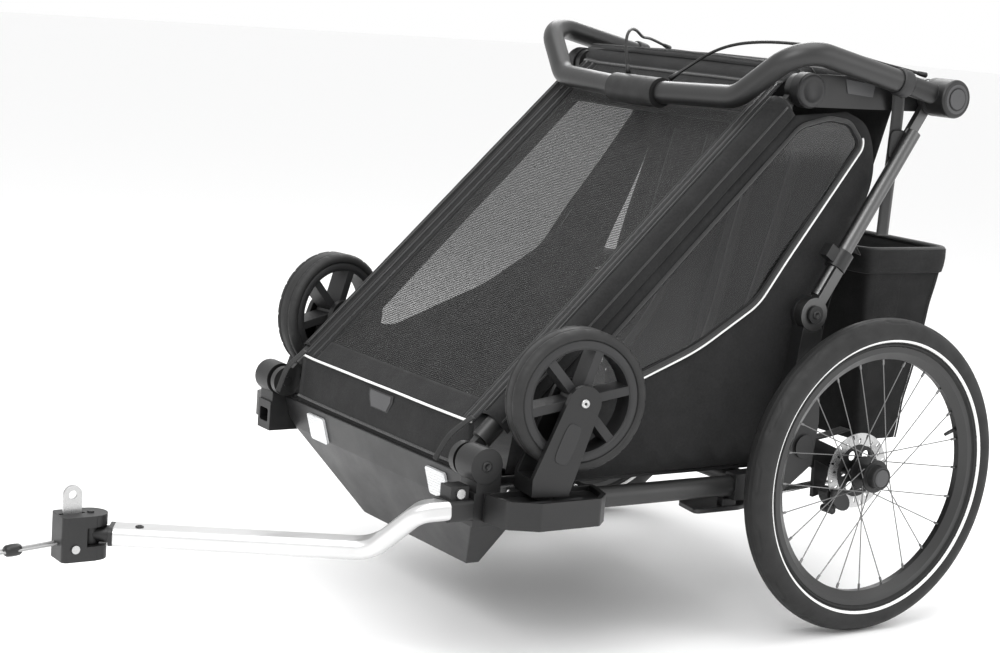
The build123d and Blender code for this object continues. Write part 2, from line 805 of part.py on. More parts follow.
# ---------------------------------------------------------------- tow arm and hitch
with BuildPart() as arm_end_fitting:
    fitting = Plane(origin=(arm_start[0], bracket_front_y, socket_z), x_dir=(1, 0, 0), z_dir=(0, -1, 0))
    with BuildSketch(fitting.offset(face_gap)):
        RectangleRounded(socket_width - 0.6, socket_height - 0.6, 3.7)
    extrude(amount=-socket_depth + 2)
    with BuildSketch(fitting.offset(face_gap)):
        RectangleRounded(arm_tube_width - 4, arm_tube_height + 4, 6)
    extrude(amount=bracket_front_y - arm_start[1] - 2 * face_gap)
    with BuildSketch(side_plane(arm_start[0] - 16, (bracket_front_y - 19, socket_z + 24))):
        Rectangle(30, 20)
    extrude(amount=28)
    with BuildSketch(side_plane(arm_start[0], (bracket_front_y - 19, socket_z + 24))):
        Circle(7 + running_gap)
    extrude(amount=20, mode=Mode.SUBTRACT)
write(arm_end_fitting.part, "tow_arm_fitting")

with BuildPart() as tow_button:
    with BuildSketch(side_plane(arm_start[0] + 4, (bracket_front_y - 19, socket_z + 24))):
        Circle(7)
    extrude(amount=12)
write(tow_button.part, "tow_arm_button")

# The arm's tube lies flat on its long level run, climbs through two bends to its fitting, and
# meets it square.
with BuildPart() as tow_arm:
    arm_run = (Vector(*arm_end) - Vector(*arm_level)).normalized()
    first_run = Vector(*arm_drop) - Vector(*arm_start)
    with BuildLine() as arm_path:
        lead = Vector(*arm_start) - first_run * 0.5
        FilletPolyline(arm_end, arm_level, arm_drop, lead, radius=[55, 26])
    level_across = Vector(arm_run.Y, -arm_run.X, 0)
    with BuildSketch(Plane(origin=arm_end, x_dir=level_across, z_dir=arm_run * -1)):
        RectangleRounded(arm_tube_width, arm_tube_height, arm_tube_corner)
    sweep()
    with BuildSketch(Plane.XZ.offset(-arm_start[1])):
        Rectangle(4 * arm_start[0], 4 * arm_start[0])
    extrude(amount=-2 * arm_tube_width, mode=Mode.SUBTRACT)
write(tow_arm.part, "tow_arm")

# Hitch: a neck on the arm's end, a head that yaws on it, and a plate that pitches in the head
# and goes on the towing bicycle's axle.
yaw_point = Vector(*arm_end) + arm_run * 34
eye_radius, eye_half_height = 13, 13
neck_plane = Plane(origin=Vector(*arm_end) + arm_run * face_gap, x_dir=(0, 0, 1), z_dir=arm_run)
with BuildPart() as hitch_neck:
    with BuildSketch(neck_plane):
        RectangleRounded(arm_tube_height, arm_tube_width, arm_tube_corner)
    extrude(amount=6)
    with BuildSketch(neck_plane):
        Circle(12)
    extrude(amount=28)
    with BuildSketch(Plane.XY.offset(arm_end[2] - eye_half_height)):
        with Locations((yaw_point.X, yaw_point.Y)):
            Circle(eye_radius)
    extrude(amount=2 * eye_half_height)
    with BuildSketch(Plane.XY.offset(arm_end[2] - 2 * eye_half_height)):
        with Locations((yaw_point.X, yaw_point.Y)):
            Circle(5 + running_gap)
    extrude(amount=4 * eye_half_height, mode=Mode.SUBTRACT)
write(hitch_neck.part, "hitch_neck")

head_half = hitch_size / 2
head_bottom_z, head_top_z = 131, 195
head_front_y = -1202
plate_pivot = (-1181, 182)
plate_round = 13.5
with BuildPart() as hitch_head:
    with BuildSketch(Plane.XY.offset(head_bottom_z)):
        with Locations((yaw_point.X, yaw_point.Y)):
            Circle(head_half - 1)
        with Locations((yaw_point.X, (yaw_point.Y + head_front_y) / 2)):
            Rectangle(hitch_size, yaw_point.Y - head_front_y)
    extrude(amount=head_top_z - head_bottom_z)
    fillet(hitch_head.edges().filter_by(Axis.Z).group_by(Axis.Y)[0], radius=8)
    with BuildSketch(Plane.XY.offset(arm_end[2] - eye_half_height - face_gap)):
        with Locations((yaw_point.X, yaw_point.Y + hitch_size - eye_radius - face_gap)):
            Rectangle(4 * head_half, 2 * hitch_size)
    extrude(amount=2 * (eye_half_height + face_gap), mode=Mode.SUBTRACT)
    with BuildSketch(Plane.XY.offset(head_bottom_z)):
        with Locations((yaw_point.X, yaw_point.Y)):
            Circle(5)
    extrude(amount=head_top_z - head_bottom_z + 2)
    with BuildSketch(side_plane(yaw_point.X - flag_thickness / 2 - face_gap, plate_pivot)):
        Circle(plate_round + face_gap)
        with Locations((0, plate_round)):
            Rectangle(38, 2 * plate_round)
    extrude(amount=flag_thickness + 2 * face_gap, mode=Mode.SUBTRACT)
    with BuildSketch(side_plane(yaw_point.X - head_half, plate_pivot)):
        Circle(4)
    extrude(amount=hitch_size)
    with BuildSketch(side_plane(yaw_point.X + head_half, (-1184, 150))):
        Circle(6 + running_gap)
    extrude(amount=-8, mode=Mode.SUBTRACT)
write(hitch_head.part, "hitch_head")

plate_bore_z = 222
with BuildPart() as hitch_plate:
    with BuildSketch(side_plane(yaw_point.X - flag_thickness / 2)):
        with Locations(plate_pivot, (plate_pivot[0], plate_bore_z)):
            Circle(plate_round)
        make_hull()
        with Locations(plate_pivot):
            Circle(4 + running_gap, mode=Mode.SUBTRACT)
        with Locations((plate_pivot[0], plate_bore_z)):
            Circle(hitch_bore_radius, mode=Mode.SUBTRACT)
    extrude(amount=flag_thickness)
write(hitch_plate.part, "hitch_plate")

with BuildPart() as hitch_button:
    with BuildSketch(side_plane(yaw_point.X + head_half - 4, (-1184, 150))):
        Circle(6)
    extrude(amount=7)
write(hitch_button.part, "hitch_button")


# ---------------------------------------------------------------- cords
def cord(points, radius, name):
    """A round cord along straight runs and the largest arcs between them."""
    radii = as_large_as_allowed(points)
    with BuildPart() as tube:
        with BuildLine() as route:
            FilletPolyline(*points, radius=radii)
        with BuildSketch(Plane(origin=route.line @ 0, z_dir=route.line % 0)):
            Circle(radius)
        sweep()
    print(name, "radii", [round(r, 1) for r in radii])
    print(name, "volume ratio", tube.part.volume / (pi * radius**2 * route.wires()[0].length))
    write(tube.part, name)


tether_radius = 2
tether_points = [
    (25, head_front_y - face_gap, 154),
    (24, -1233, 151),
    (20, -1264, 147),
    (12, -1288, 145),
    (11, -1306, 146),
    (19, -1314, 147),
    (28, -1305, 146),
    (29, -1287, 145),
    (31, -1262, 147),
    (36, -1232, 151),
    (37, head_front_y - face_gap, 154),
]
cord(tether_points, tether_radius, "tether")

brake_cable_radius = 2.5
left_cable_points = [
    (60, -215, 838),
    (72, -188, 860),
    (98, -172, 882),
    (140, -163, 898),
    (186, -147, 906),
    (232, -120, 908),
    (bar_x - 69, -84, 904),
    (bar_x - 41, -44, 896),
    (bar_x - 23, -2, 886),
    (bar_x - 14, 42, 879),
    (bar_x - 13, 74, 874),
]
cord(left_cable_points, brake_cable_radius, "brake_cable_left")
right_cable_points = [
    (-45, -222, 838),
    (-52, -225, 870),
    (-60, -221, 896),
    (-76, -201, 909),
    (-110, -163, 906),
    (-146, -127, 898),
    (-188, -88, 893),
    (-232, -49, 892),
    (65 - bar_x, -8, 890),
    (35 - bar_x, 32, 884),
    (19 - bar_x, 70, 875),
]
cord(right_cable_points, brake_cable_radius, "brake_cable_right")


# ---------------------------------------------------------------- cabin and bag
def above_front_line(distance, along):
    """The (y, z) point above the front tube's axis, a given way along it from the nose."""
    run_y = (top_pivot[0] - nose_pivot[0]) / front_length
    run_z = (top_pivot[1] - nose_pivot[1]) / front_length
    return (
        nose_pivot[0] + along * run_y - distance * run_z,
        nose_pivot[1] + along * run_z + distance * run_y,
    )


cover_foot = (-684, 282)
cover_start = 40
with BuildPart() as front_cover:
    with BuildSketch(Plane.YZ):
        with BuildLine():
            Polyline(
                cover_foot,
                above_front_line(cover_rise, cover_start),
                above_front_line(cover_rise, front_length - 4),
                above_front_line(cover_rise + cloth, front_length - 4),
                above_front_line(cover_rise + cloth, cover_start - 2),
                (cover_foot[0] - cloth, cover_foot[1]),
                close=True,
            )
        make_face()
    extrude(amount=cover_half_width, both=True)
write(front_cover.part, "front_cover")

roof_half_width = panel_x + 10
roof_bottom_z = top_pivot[1] + max(link_eye_radius + 1, top_arm_height / 2) + side_gap
with BuildPart() as roof_panel:
    with BuildSketch(Plane.YZ):
        with BuildLine():
            Polyline(
                (-132, roof_bottom_z),
                (60, roof_bottom_z),
                (60, roof_bottom_z + cloth),
                (-132, roof_bottom_z + 2 * cloth),
                close=True,
            )
        make_face()
    extrude(amount=roof_half_width, both=True)
write(roof_panel.part, "roof_panel")

window_outline = [
    (-82, 792),
    (-42, 788),
    (-17, 761),
    (-152, 584),
    (-198, 520),
    (-308, 454),
    (-487, 385),
]
panel_drop = -15
panel_front_y, panel_bottom_z = bumper_rear_y + 8, 258
with BuildPart() as side_panel:
    with BuildSketch(side_plane(panel_x)):
        with BuildLine():
            Polyline(
                (panel_front_y, panel_bottom_z),
                (panel_front_y, bumper_top_z + 4),
                (panel_front_y - 66, bumper_top_z + 4),
                above_front_line(panel_drop, 85),
                above_front_line(panel_drop, 735),
                (-40, 809),
                (10, 768),
                (22, 695),
                (-55, 516),
                (-132, 335),
                (-142, panel_bottom_z),
                close=True,
            )
        make_face()
        with BuildLine():
            Polyline(*window_outline, close=True)
        make_face(mode=Mode.SUBTRACT)
    extrude(amount=cloth)
write_both(side_panel.part, "side_panels")

with BuildPart() as side_window:
    with BuildSketch(side_plane(panel_x + 1)):
        with BuildLine():
            Polyline(*window_outline, close=True)
        make_face()
        offset(amount=-0.3)
    extrude(amount=1)
write_both(side_window.part, "side_windows")

back_half_width = panel_x - 31
with BuildPart() as back_panel:
    with BuildSketch(Plane.YZ):
        with BuildLine():
            Polyline(
                (70, 862),
                (-45, 480),
                (-60, 262),
                (-60 + cloth, 262),
                (-45 + cloth, 480),
                (70 + cloth, 862),
                close=True,
            )
        make_face()
    extrude(amount=back_half_width, both=True)
write(back_panel.part, "back_panel")

seat_front_y, seat_rear_y = -400, -112
floor_top_z = floor_bottom_z + floor_thickness
with BuildPart() as seat_base:
    with BuildSketch(Plane.XY.offset(floor_top_z + face_gap)):
        with Locations((0, (seat_front_y + seat_rear_y) / 2)):
            RectangleRounded(2 * seat_half_width, seat_rear_y - seat_front_y, 30)
    extrude(amount=seat_top_z - floor_top_z - face_gap)
    fillet(seat_base.edges().group_by(Axis.Z)[-1], radius=12)
write(seat_base.part, "seat_base")

seat_back_foot, seat_back_top, seat_back_thickness = (-118, 307), (4, 790), 24
with BuildPart() as seat_back:
    rise_length = span(seat_back_foot, seat_back_top)
    with BuildSketch(link_plane(-seat_half_width, seat_back_foot, seat_back_top)):
        with Locations((rise_length / 2, -seat_back_thickness / 2)):
            RectangleRounded(rise_length, seat_back_thickness, 10)
    extrude(amount=2 * seat_half_width)
write(seat_back.part, "seat_back")

bag_bottom_z, bag_top_z = 265, 590
bag_foot_y, bag_rim_y = (105, 205), (72, 268)


def bag_form(inset, rise):
    """The bag's form, inset by its wall, its floor raised by rise."""
    with BuildPart() as form:
        for z, (front_y, rear_y), half in (
            (bag_bottom_z + rise, bag_foot_y, bag_half_width - 13),
            (bag_top_z, bag_rim_y, bag_half_width),
        ):
            with BuildSketch(Plane.XY.offset(z)):
                with Locations((0, (front_y + rear_y) / 2)):
                    Rectangle(2 * (half - inset), rear_y - front_y - 2 * inset)
        loft()
    return form.part


with BuildPart() as cargo_bag:
    add(bag_form(0, 0))
    add(bag_form(bag_wall, bag_wall), mode=Mode.SUBTRACT)
write(cargo_bag.part, "cargo_bag")
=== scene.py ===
"""Looks of the child bicycle trailer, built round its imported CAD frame. Metres, +Z up, -Y forward."""

import json
import math

import bmesh
import bpy
from mathutils import Matrix, Vector
from mathutils import noise


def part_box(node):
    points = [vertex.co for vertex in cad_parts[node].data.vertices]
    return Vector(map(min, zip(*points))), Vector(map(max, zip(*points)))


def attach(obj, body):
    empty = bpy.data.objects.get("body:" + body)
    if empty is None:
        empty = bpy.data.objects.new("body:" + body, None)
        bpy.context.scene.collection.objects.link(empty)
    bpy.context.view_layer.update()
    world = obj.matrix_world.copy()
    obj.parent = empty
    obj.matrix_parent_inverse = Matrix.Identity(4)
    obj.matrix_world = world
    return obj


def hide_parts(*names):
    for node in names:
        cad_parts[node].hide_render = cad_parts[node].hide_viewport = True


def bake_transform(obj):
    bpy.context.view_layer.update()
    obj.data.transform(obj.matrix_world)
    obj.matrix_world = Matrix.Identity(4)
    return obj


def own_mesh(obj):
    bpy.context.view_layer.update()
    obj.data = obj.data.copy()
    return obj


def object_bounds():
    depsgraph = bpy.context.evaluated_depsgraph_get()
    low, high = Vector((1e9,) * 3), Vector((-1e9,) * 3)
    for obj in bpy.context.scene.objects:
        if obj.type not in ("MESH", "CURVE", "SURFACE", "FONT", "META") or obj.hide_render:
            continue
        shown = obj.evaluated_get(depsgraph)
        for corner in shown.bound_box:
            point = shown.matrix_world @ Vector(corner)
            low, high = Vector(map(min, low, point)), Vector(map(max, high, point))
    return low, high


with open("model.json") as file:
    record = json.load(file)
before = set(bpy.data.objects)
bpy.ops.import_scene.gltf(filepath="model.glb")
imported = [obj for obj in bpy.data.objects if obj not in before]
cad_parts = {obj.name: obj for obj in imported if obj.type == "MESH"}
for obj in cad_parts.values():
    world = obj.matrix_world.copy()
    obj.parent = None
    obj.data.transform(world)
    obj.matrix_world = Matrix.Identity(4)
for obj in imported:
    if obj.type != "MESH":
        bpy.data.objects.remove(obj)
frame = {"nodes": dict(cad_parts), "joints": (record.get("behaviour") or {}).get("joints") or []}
cad_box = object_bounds()
joints = {joint["name"]: joint for joint in frame["joints"]}


def pivot(joint):
    return Vector(joints[joint]["pos_m"])


# ---------------------------------------------------------------- places taken from the frame
NOSE = pivot("fold")
TOP = pivot("top_arm_turn")
HUB = pivot("hub_turn")
ELBOW = pivot("rear_tube_turn")
AXLE = pivot("wheel_left_spin")
SIDES = (("left", 1), ("right", -1))
FRONT_RUN = (TOP - NOSE).normalized()
FRONT_UP = Vector((0, -FRONT_RUN.z, FRONT_RUN.y))
FRONT_LENGTH = (TOP - NOSE).length


def on_front(x, along, above):
    """A point above the front tubes' line, a given way up it from the nose."""
    point = NOSE + FRONT_RUN * along + FRONT_UP * above
    return Vector((x, point.y, point.z))


# ---------------------------------------------------------------- shader helpers
class Shader:
    """A Principled material, with small helpers for the nodes that feed it."""

    def __init__(self, name, colour, rough, metal=0.0, **sockets):
        self.material = bpy.data.materials.new(name)
        self.material.use_nodes = True
        self.tree = self.material.node_tree
        self.base = self.tree.nodes["Principled BSDF"]
        self.base.inputs["Base Color"].default_value = (*colour, 1)
        self.base.inputs["Roughness"].default_value = rough
        self.base.inputs["Metallic"].default_value = metal
        for socket, value in sockets.items():
            self.base.inputs[socket.replace("_", " ")].default_value = value
        self.coords = self.tree.nodes.new("ShaderNodeTexCoord")

    def node(self, kind, **values):
        made = self.tree.nodes.new(kind)
        for key, value in values.items():
            if key in made.inputs:
                made.inputs[key].default_value = value
            else:
                setattr(made, key, value)
        return made

    def link(self, source, target):
        self.tree.links.new(source, target)

    def math(self, operation, first, second=0.0):
        made = self.tree.nodes.new("ShaderNodeMath")
        made.operation = operation
        for socket, value in zip(made.inputs, (first, second)):
            if isinstance(value, (int, float)):
                socket.default_value = value
            else:
                self.link(value, socket)
        return made.outputs[0]

    def noise(self, scale, detail=4.0, space="Object", rough=0.55):
        made = self.node("ShaderNodeTexNoise", Scale=scale, Detail=detail, Roughness=rough)
        self.link(self.coords.outputs[space], made.inputs["Vector"])
        return made.outputs["Fac"]

    def cells(self, scale, space="Object"):
        made = self.node("ShaderNodeTexVoronoi", Scale=scale)
        self.link(self.coords.outputs[space], made.inputs["Vector"])
        return made.outputs["Distance"]

    def axis(self, name, space):
        split = self.node("ShaderNodeSeparateXYZ")
        self.link(self.coords.outputs[space], split.inputs[0])
        return split.outputs[name]

    def ripple(self, name, pitch, space):
        """A sine along one axis, from 0 to 1, once each pitch."""
        turned = self.math("MULTIPLY", self.axis(name, space), 2 * math.pi / pitch)
        return self.math("MULTIPLY_ADD", self.math("SINE", turned), 0.5)

    def weave(self, pitch, space="UV", across="X", along="Y"):
        """Height of a plain weave, from 0 to 1: threads cross over and under each other."""
        first = self.math("MULTIPLY", self.axis(across, space), math.pi / pitch)
        second = self.math("MULTIPLY", self.axis(along, space), math.pi / pitch)
        product = self.math("MULTIPLY", self.math("SINE", first), self.math("SINE", second))
        return self.math("ABSOLUTE", product)

    def bump(self, height, distance, strength=1.0, under=None):
        made = self.node("ShaderNodeBump", Distance=distance, Strength=strength)
        self.link(height, made.inputs["Height"])
        if under is not None:
            self.link(under, made.inputs["Normal"])
        self.link(made.outputs[0], self.base.inputs["Normal"])
        return made.outputs[0]

    def soft_edges(self, radius):
        made = self.node("ShaderNodeBevel", Radius=radius, samples=4)
        self.link(made.outputs[0], self.base.inputs["Normal"])
        return made.outputs[0]

    def spread(self, factor, low, high, socket, start=0.3, end=0.7):
        """Maps a 0 to 1 factor onto a range of the socket: a number, or a pair of colours."""
        if isinstance(low, tuple):
            ramp = self.node("ShaderNodeValToRGB")
            ramp.color_ramp.elements[0].position = start
            ramp.color_ramp.elements[1].position = end
            ramp.color_ramp.elements[0].color = (*low, 1)
            ramp.color_ramp.elements[1].color = (*high, 1)
            self.link(factor, ramp.inputs[0])
            self.link(ramp.outputs[0], self.base.inputs[socket])
            return
        made = self.node("ShaderNodeMapRange")
        for key, value in (("From Min", start), ("From Max", end), ("To Min", low), ("To Max", high)):
            made.inputs[key].default_value = value
        self.link(factor, made.inputs["Value"])
        self.link(made.outputs[0], self.base.inputs[socket])


def grey(value, cool=0.0):
    return (value, value, value * (1 + cool))


# ---------------------------------------------------------------- materials
def moulded_plastic(name, tone, rough, grain=0.00012, edge=0.0014):
    made = Shader(name, grey(tone, 0.04), rough, Specular_IOR_Level=0.5)
    edges = made.soft_edges(edge)
    speck = made.cells(900)
    made.bump(speck, grain, 0.55, under=edges)
    made.spread(made.noise(14, 5), rough - 0.06, rough + 0.08, "Roughness")
    made.spread(made.noise(5, 3), grey(tone * 0.85, 0.04), grey(tone * 1.2, 0.04), "Base Color")
    return made.material


def powder_coat(name, tone, rough):
    made = Shader(name, grey(tone, 0.03), rough, Coat_Weight=0.25, Coat_Roughness=0.35)
    fine = made.noise(1600, 2)
    made.bump(fine, 0.00008, 0.5)
    made.spread(made.noise(9, 4), rough - 0.05, rough + 0.07, "Roughness")
    made.spread(made.noise(30, 4), grey(tone * 0.9), grey(tone * 1.15), "Base Color")
    return made.material


def anodised(name, tone, rough, streak="Z", edge=0.001):
    made = Shader(name, grey(tone, 0.01), rough, 1.0)
    edges = made.soft_edges(edge)
    scale = {"X": (8, 900, 900), "Y": (900, 8, 900), "Z": (900, 900, 8)}[streak]
    stretch = made.node("ShaderNodeMapping", Scale=scale)
    made.link(made.coords.outputs["Object"], stretch.inputs["Vector"])
    lines = made.node("ShaderNodeTexNoise", Scale=1.0, Detail=3.0)
    made.link(stretch.outputs[0], lines.inputs["Vector"])
    made.bump(lines.outputs["Fac"], 0.00004, 0.35, under=edges)
    made.spread(lines.outputs["Fac"], rough - 0.06, rough + 0.1, "Roughness")
    made.spread(made.noise(6, 3), grey(tone * 0.92), grey(min(1, tone * 1.06)), "Base Color")
    return made.material


def cloth_material(name, tone, pitch, rough=0.8, wrinkle=0.0012, depth=0.00025, sheen=0.06):
    made = Shader(name, grey(tone, 0.02), rough, Sheen_Weight=sheen, Specular_IOR_Level=0.2)
    creases = made.bump(made.noise(16, 5), wrinkle, 0.5)
    made.bump(made.weave(pitch), depth, 0.8, under=creases)
    made.spread(made.noise(260, 4), grey(tone * 0.8, 0.02), grey(tone * 1.25, 0.02), "Base Color")
    made.spread(made.noise(25, 3), rough - 0.12, rough + 0.08, "Roughness")
    return made.material


def see_through_mesh(name, tone, pitch, open_alpha):
    """Fine knitted mesh: solid threads round holes that let the light through."""
    made = Shader(name, grey(tone, 0.01), 0.62, Sheen_Weight=0.05, Specular_IOR_Level=0.2)
    threads = made.weave(pitch)
    creases = made.bump(made.noise(9, 4), 0.0015, 0.4)
    made.bump(threads, 0.0003, 0.6, under=creases)
    made.spread(threads, 1.0, open_alpha, "Alpha", 0.14, 0.5)
    made.spread(made.noise(40, 4), grey(tone * 0.85), grey(tone * 1.2), "Base Color")
    return made.material


def tinted_film(name, tone, alpha):
    made = Shader(name, grey(tone, 0.02), 0.16, Alpha=alpha, Coat_Weight=0.6, Coat_Roughness=0.06)
    made.bump(made.noise(3.5, 1), 0.004, 0.4)
    made.spread(made.noise(6, 2), 0.06, 0.13, "Roughness")
    return made.material


def rubber(name, tone, rough):
    made = Shader(name, grey(tone), rough, Specular_IOR_Level=0.4)
    made.bump(made.noise(700, 3), 0.00012, 0.6)
    made.spread(made.noise(18, 5), grey(tone * 0.8), grey(tone * 1.35), "Base Color")
    made.spread(made.noise(40, 4), rough - 0.08, rough + 0.1, "Roughness")
    return made.material


def webbing_material(name, tone):
    made = Shader(name, grey(tone), 0.7, Sheen_Weight=0.3)
    ribs = made.ripple("Y", 0.0016, "UV")
    made.bump(ribs, 0.0003, 0.9)
    made.spread(made.noise(120, 4), grey(tone * 0.8), grey(tone * 1.3), "Base Color")
    return made.material


def reflector_material():
    made = Shader("reflector", (0.82, 0.83, 0.84), 0.12, 0.35, Coat_Weight=1.0, Coat_Roughness=0.03)
    made.bump(made.weave(0.0045, "Object", "X", "Z"), 0.0012, 0.9)
    made.spread(made.noise(60, 2), 0.08, 0.2, "Roughness")
    return made.material


def piping_material():
    made = Shader("piping_white", (0.83, 0.83, 0.82), 0.45, Sheen_Weight=0.2)
    made.bump(made.noise(900, 2), 0.0001, 0.5)
    made.spread(made.noise(50, 3), (0.74, 0.74, 0.73), (0.88, 0.88, 0.87), "Base Color")
    return made.material


PLASTIC = moulded_plastic("black_plastic", 0.006, 0.42)
SOFT_PLASTIC = moulded_plastic("soft_plastic", 0.014, 0.5, grain=0.0002)
KEEL = moulded_plastic("keel_plastic", 0.012, 0.4, grain=0.0001, edge=0.004)
LIGHT_PLASTIC = moulded_plastic("grey_plastic", 0.055, 0.4, edge=0.0008)
TUBE = powder_coat("black_tube", 0.007, 0.42)
GREY_TUBE = anodised("grey_tube", 0.13, 0.36)
ARM = anodised("arm_metal", 0.66, 0.34, "Y", 0.002)
STEEL = anodised("steel", 0.5, 0.28, "X", 0.0006)
SPOKE = anodised("spoke_steel", 0.2, 0.3, "X", 0.0002)
RIM = powder_coat("rim_black", 0.008, 0.36)
TYRE = rubber("tyre_rubber", 0.011, 0.62)
CASTER_RUBBER = rubber("stroller_tyre", 0.013, 0.58)
GRIP = rubber("grip_rubber", 0.012, 0.5)
CABLE = rubber("cable_jacket", 0.008, 0.4)
BODY_CLOTH = cloth_material("body_cloth", 0.013, 0.0014)
BAG_CLOTH = cloth_material("bag_cloth", 0.009, 0.0018, wrinkle=0.003)
SEAT_CLOTH = cloth_material("seat_cloth", 0.016, 0.0016, wrinkle=0.002)
MESH = see_through_mesh("cover_mesh", 0.03, 0.0032, 0.12)
FILM = tinted_film("window_film", 0.03, 0.42)
WEBBING = webbing_material("webbing", 0.008)
REFLECTOR = reflector_material()
PIPING = piping_material()
ZIP = moulded_plastic("zip_teeth", 0.02, 0.3, grain=0.0003, edge=0.0003)
TETHER = anodised("tether_rope", 0.35, 0.45, "Y", 0.0002)


# ---------------------------------------------------------------- mesh helpers
def smoothed(points, steps=6, closed=False):
    """A Catmull-Rom curve through the points."""
    points = [Vector(p) for p in points]
    count = len(points)
    result = []
    for i in range(count if closed else count - 1):
        if closed:
            p0, p1, p2, p3 = (points[(i + k) % count] for k in (-1, 0, 1, 2))
        else:
            p0, p1, p2 = points[max(i - 1, 0)], points[i], points[i + 1]
            p3 = points[min(i + 2, count - 1)]
        for k in range(steps):
            t = k / steps
            result.append(
                0.5
                * (
                    2 * p1
                    + (p2 - p0) * t
                    + (2 * p0 - 5 * p1 + 4 * p2 - p3) * t * t
                    + (3 * p1 - p0 - 3 * p2 + p3) * t**3
                )
            )
    if not closed:
        result.append(points[-1])
    return result


def new_object(name, mesh, material, smooth=True):
    mesh.materials.append(material)
    for polygon in mesh.polygons:
        polygon.use_smooth = smooth
    made = bpy.data.objects.new(name, mesh)
    bpy.context.scene.collection.objects.link(made)
    return made


def from_faces(name, vertices, faces, material, smooth=True):
    mesh = bpy.data.meshes.new(name)
    mesh.from_pydata([tuple(v) for v in vertices], [], faces)
    mesh.update()
    return new_object(name, mesh, material, smooth)


def grid(name, rows, material, closed=False, smooth=True):
    """A sheet through rows of points, with UVs in metres along the first row and down the rows."""
    width = len(rows[0])
    vertices = [point for row in rows for point in row]
    faces = []
    for r in range(len(rows) - 1):
        for c in range(width if closed else width - 1):
            right = (c + 1) % width
            faces.append((r * width + c, r * width + right, (r + 1) * width + right, (r + 1) * width + c))
    made = from_faces(name, vertices, faces, material, smooth)
    middle = len(rows) // 2
    across = [0.0]
    for first, second in zip(rows[middle], rows[middle][1:]):
        across.append(across[-1] + (Vector(second) - Vector(first)).length)
    down = [0.0]
    for first, second in zip(rows, rows[1:]):
        step = Vector(second[width // 2]) - Vector(first[width // 2])
        down.append(down[-1] + step.length)
    layer = made.data.uv_layers.new(name="UVMap")
    for loop in made.data.loops:
        row, column = divmod(loop.vertex_index, width)
        layer.data[loop.index].uv = (across[column], down[row])
    return made


def thicken(piece, thickness, offset=0.0):
    """Gives a sheet its thickness, as part of its mesh."""
    solid = piece.modifiers.new("thickness", "SOLIDIFY")
    solid.thickness = thickness
    solid.offset = offset
    return bake(piece)


def bake(piece):
    """Turns a piece's modifiers into its own mesh."""
    bpy.context.view_layer.update()
    held = piece.evaluated_get(bpy.context.evaluated_depsgraph_get())
    mesh = bpy.data.meshes.new_from_object(held)
    piece.modifiers.clear()
    piece.data = mesh
    return piece


def round_edges(piece, width, segments=2, angle=40):
    bevel = piece.modifiers.new("round", "BEVEL")
    bevel.width = width
    bevel.segments = segments
    bevel.limit_method = "ANGLE"
    bevel.angle_limit = math.radians(angle)
    return bake(piece)


def rod(name, points, radius, material, sides=10, closed=False, flat=1.0, up=None):
    """A round or flattened rod along points, as a mesh with closed ends."""
    points = [Vector(p) for p in points]
    count = len(points)
    rings = []
    side = None
    for i, point in enumerate(points):
        ahead = points[(i + 1) % count] if closed or i < count - 1 else point
        behind = points[i - 1] if closed or i > 0 else point
        run = (ahead - behind).normalized()
        if up is not None:
            side = run.cross(Vector(up)).normalized()
        elif side is None:
            side = run.orthogonal().normalized()
        else:
            side = (side - run * side.dot(run)).normalized()
        other = run.cross(side)
        size = radius(i / (count - 1)) if callable(radius) else radius
        ring = []
        for k in range(sides):
            turn = 2 * math.pi * k / sides
            ring.append(point + side * math.cos(turn) * size + other * math.sin(turn) * size * flat)
        rings.append(ring)
    if closed:
        rings.append(rings[0])
    made = grid(name, rings, material, closed=True)
    mesh = made.data
    if closed:
        work = bmesh.new()
        work.from_mesh(mesh)
        bmesh.ops.remove_doubles(work, verts=work.verts, dist=1e-6)
        work.to_mesh(mesh)
        work.free()
        return made
    work = bmesh.new()
    work.from_mesh(mesh)
    bmesh.ops.holes_fill(work, edges=[e for e in work.edges if e.is_boundary])
    bmesh.ops.recalc_face_normals(work, faces=work.faces)
    work.to_mesh(mesh)
    work.free()
    return made


def strap(name, points, width_way, width, material, thickness=0.0014, body=None, steps=8):
    """A flat strap along smoothed points, its width along width_way."""
    path = smoothed(points, steps)
    way = Vector(width_way).normalized()
    rows = []
    for point in path:
        rows.append([point + way * width * (k / 4 - 0.5) for k in range(5)])
    made = grid(name, rows, material)
    thicken(made, thickness)
    if body:
        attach(made, body)
    return made


def outline_solid(name, points, thickness_way, material, round_by=0.002, smooth=False):
    """A flat plate with the given outline, extruded along thickness_way and its edges rounded."""
    way = Vector(thickness_way)
    count = len(points)
    near = [Vector(p) for p in points]
    vertices = near + [p + way for p in near]
    faces = [tuple(range(count)), tuple(range(2 * count - 1, count - 1, -1))]
    for i in range(count):
        after = (i + 1) % count
        faces.append((i, i + count, after + count, after))
    made = from_faces(name, vertices, faces, material, smooth)
    work = bmesh.new()
    work.from_mesh(made.data)
    bmesh.ops.recalc_face_normals(work, faces=work.faces)
    work.to_mesh(made.data)
    work.free()
    if round_by:
        round_edges(made, round_by)
    return made


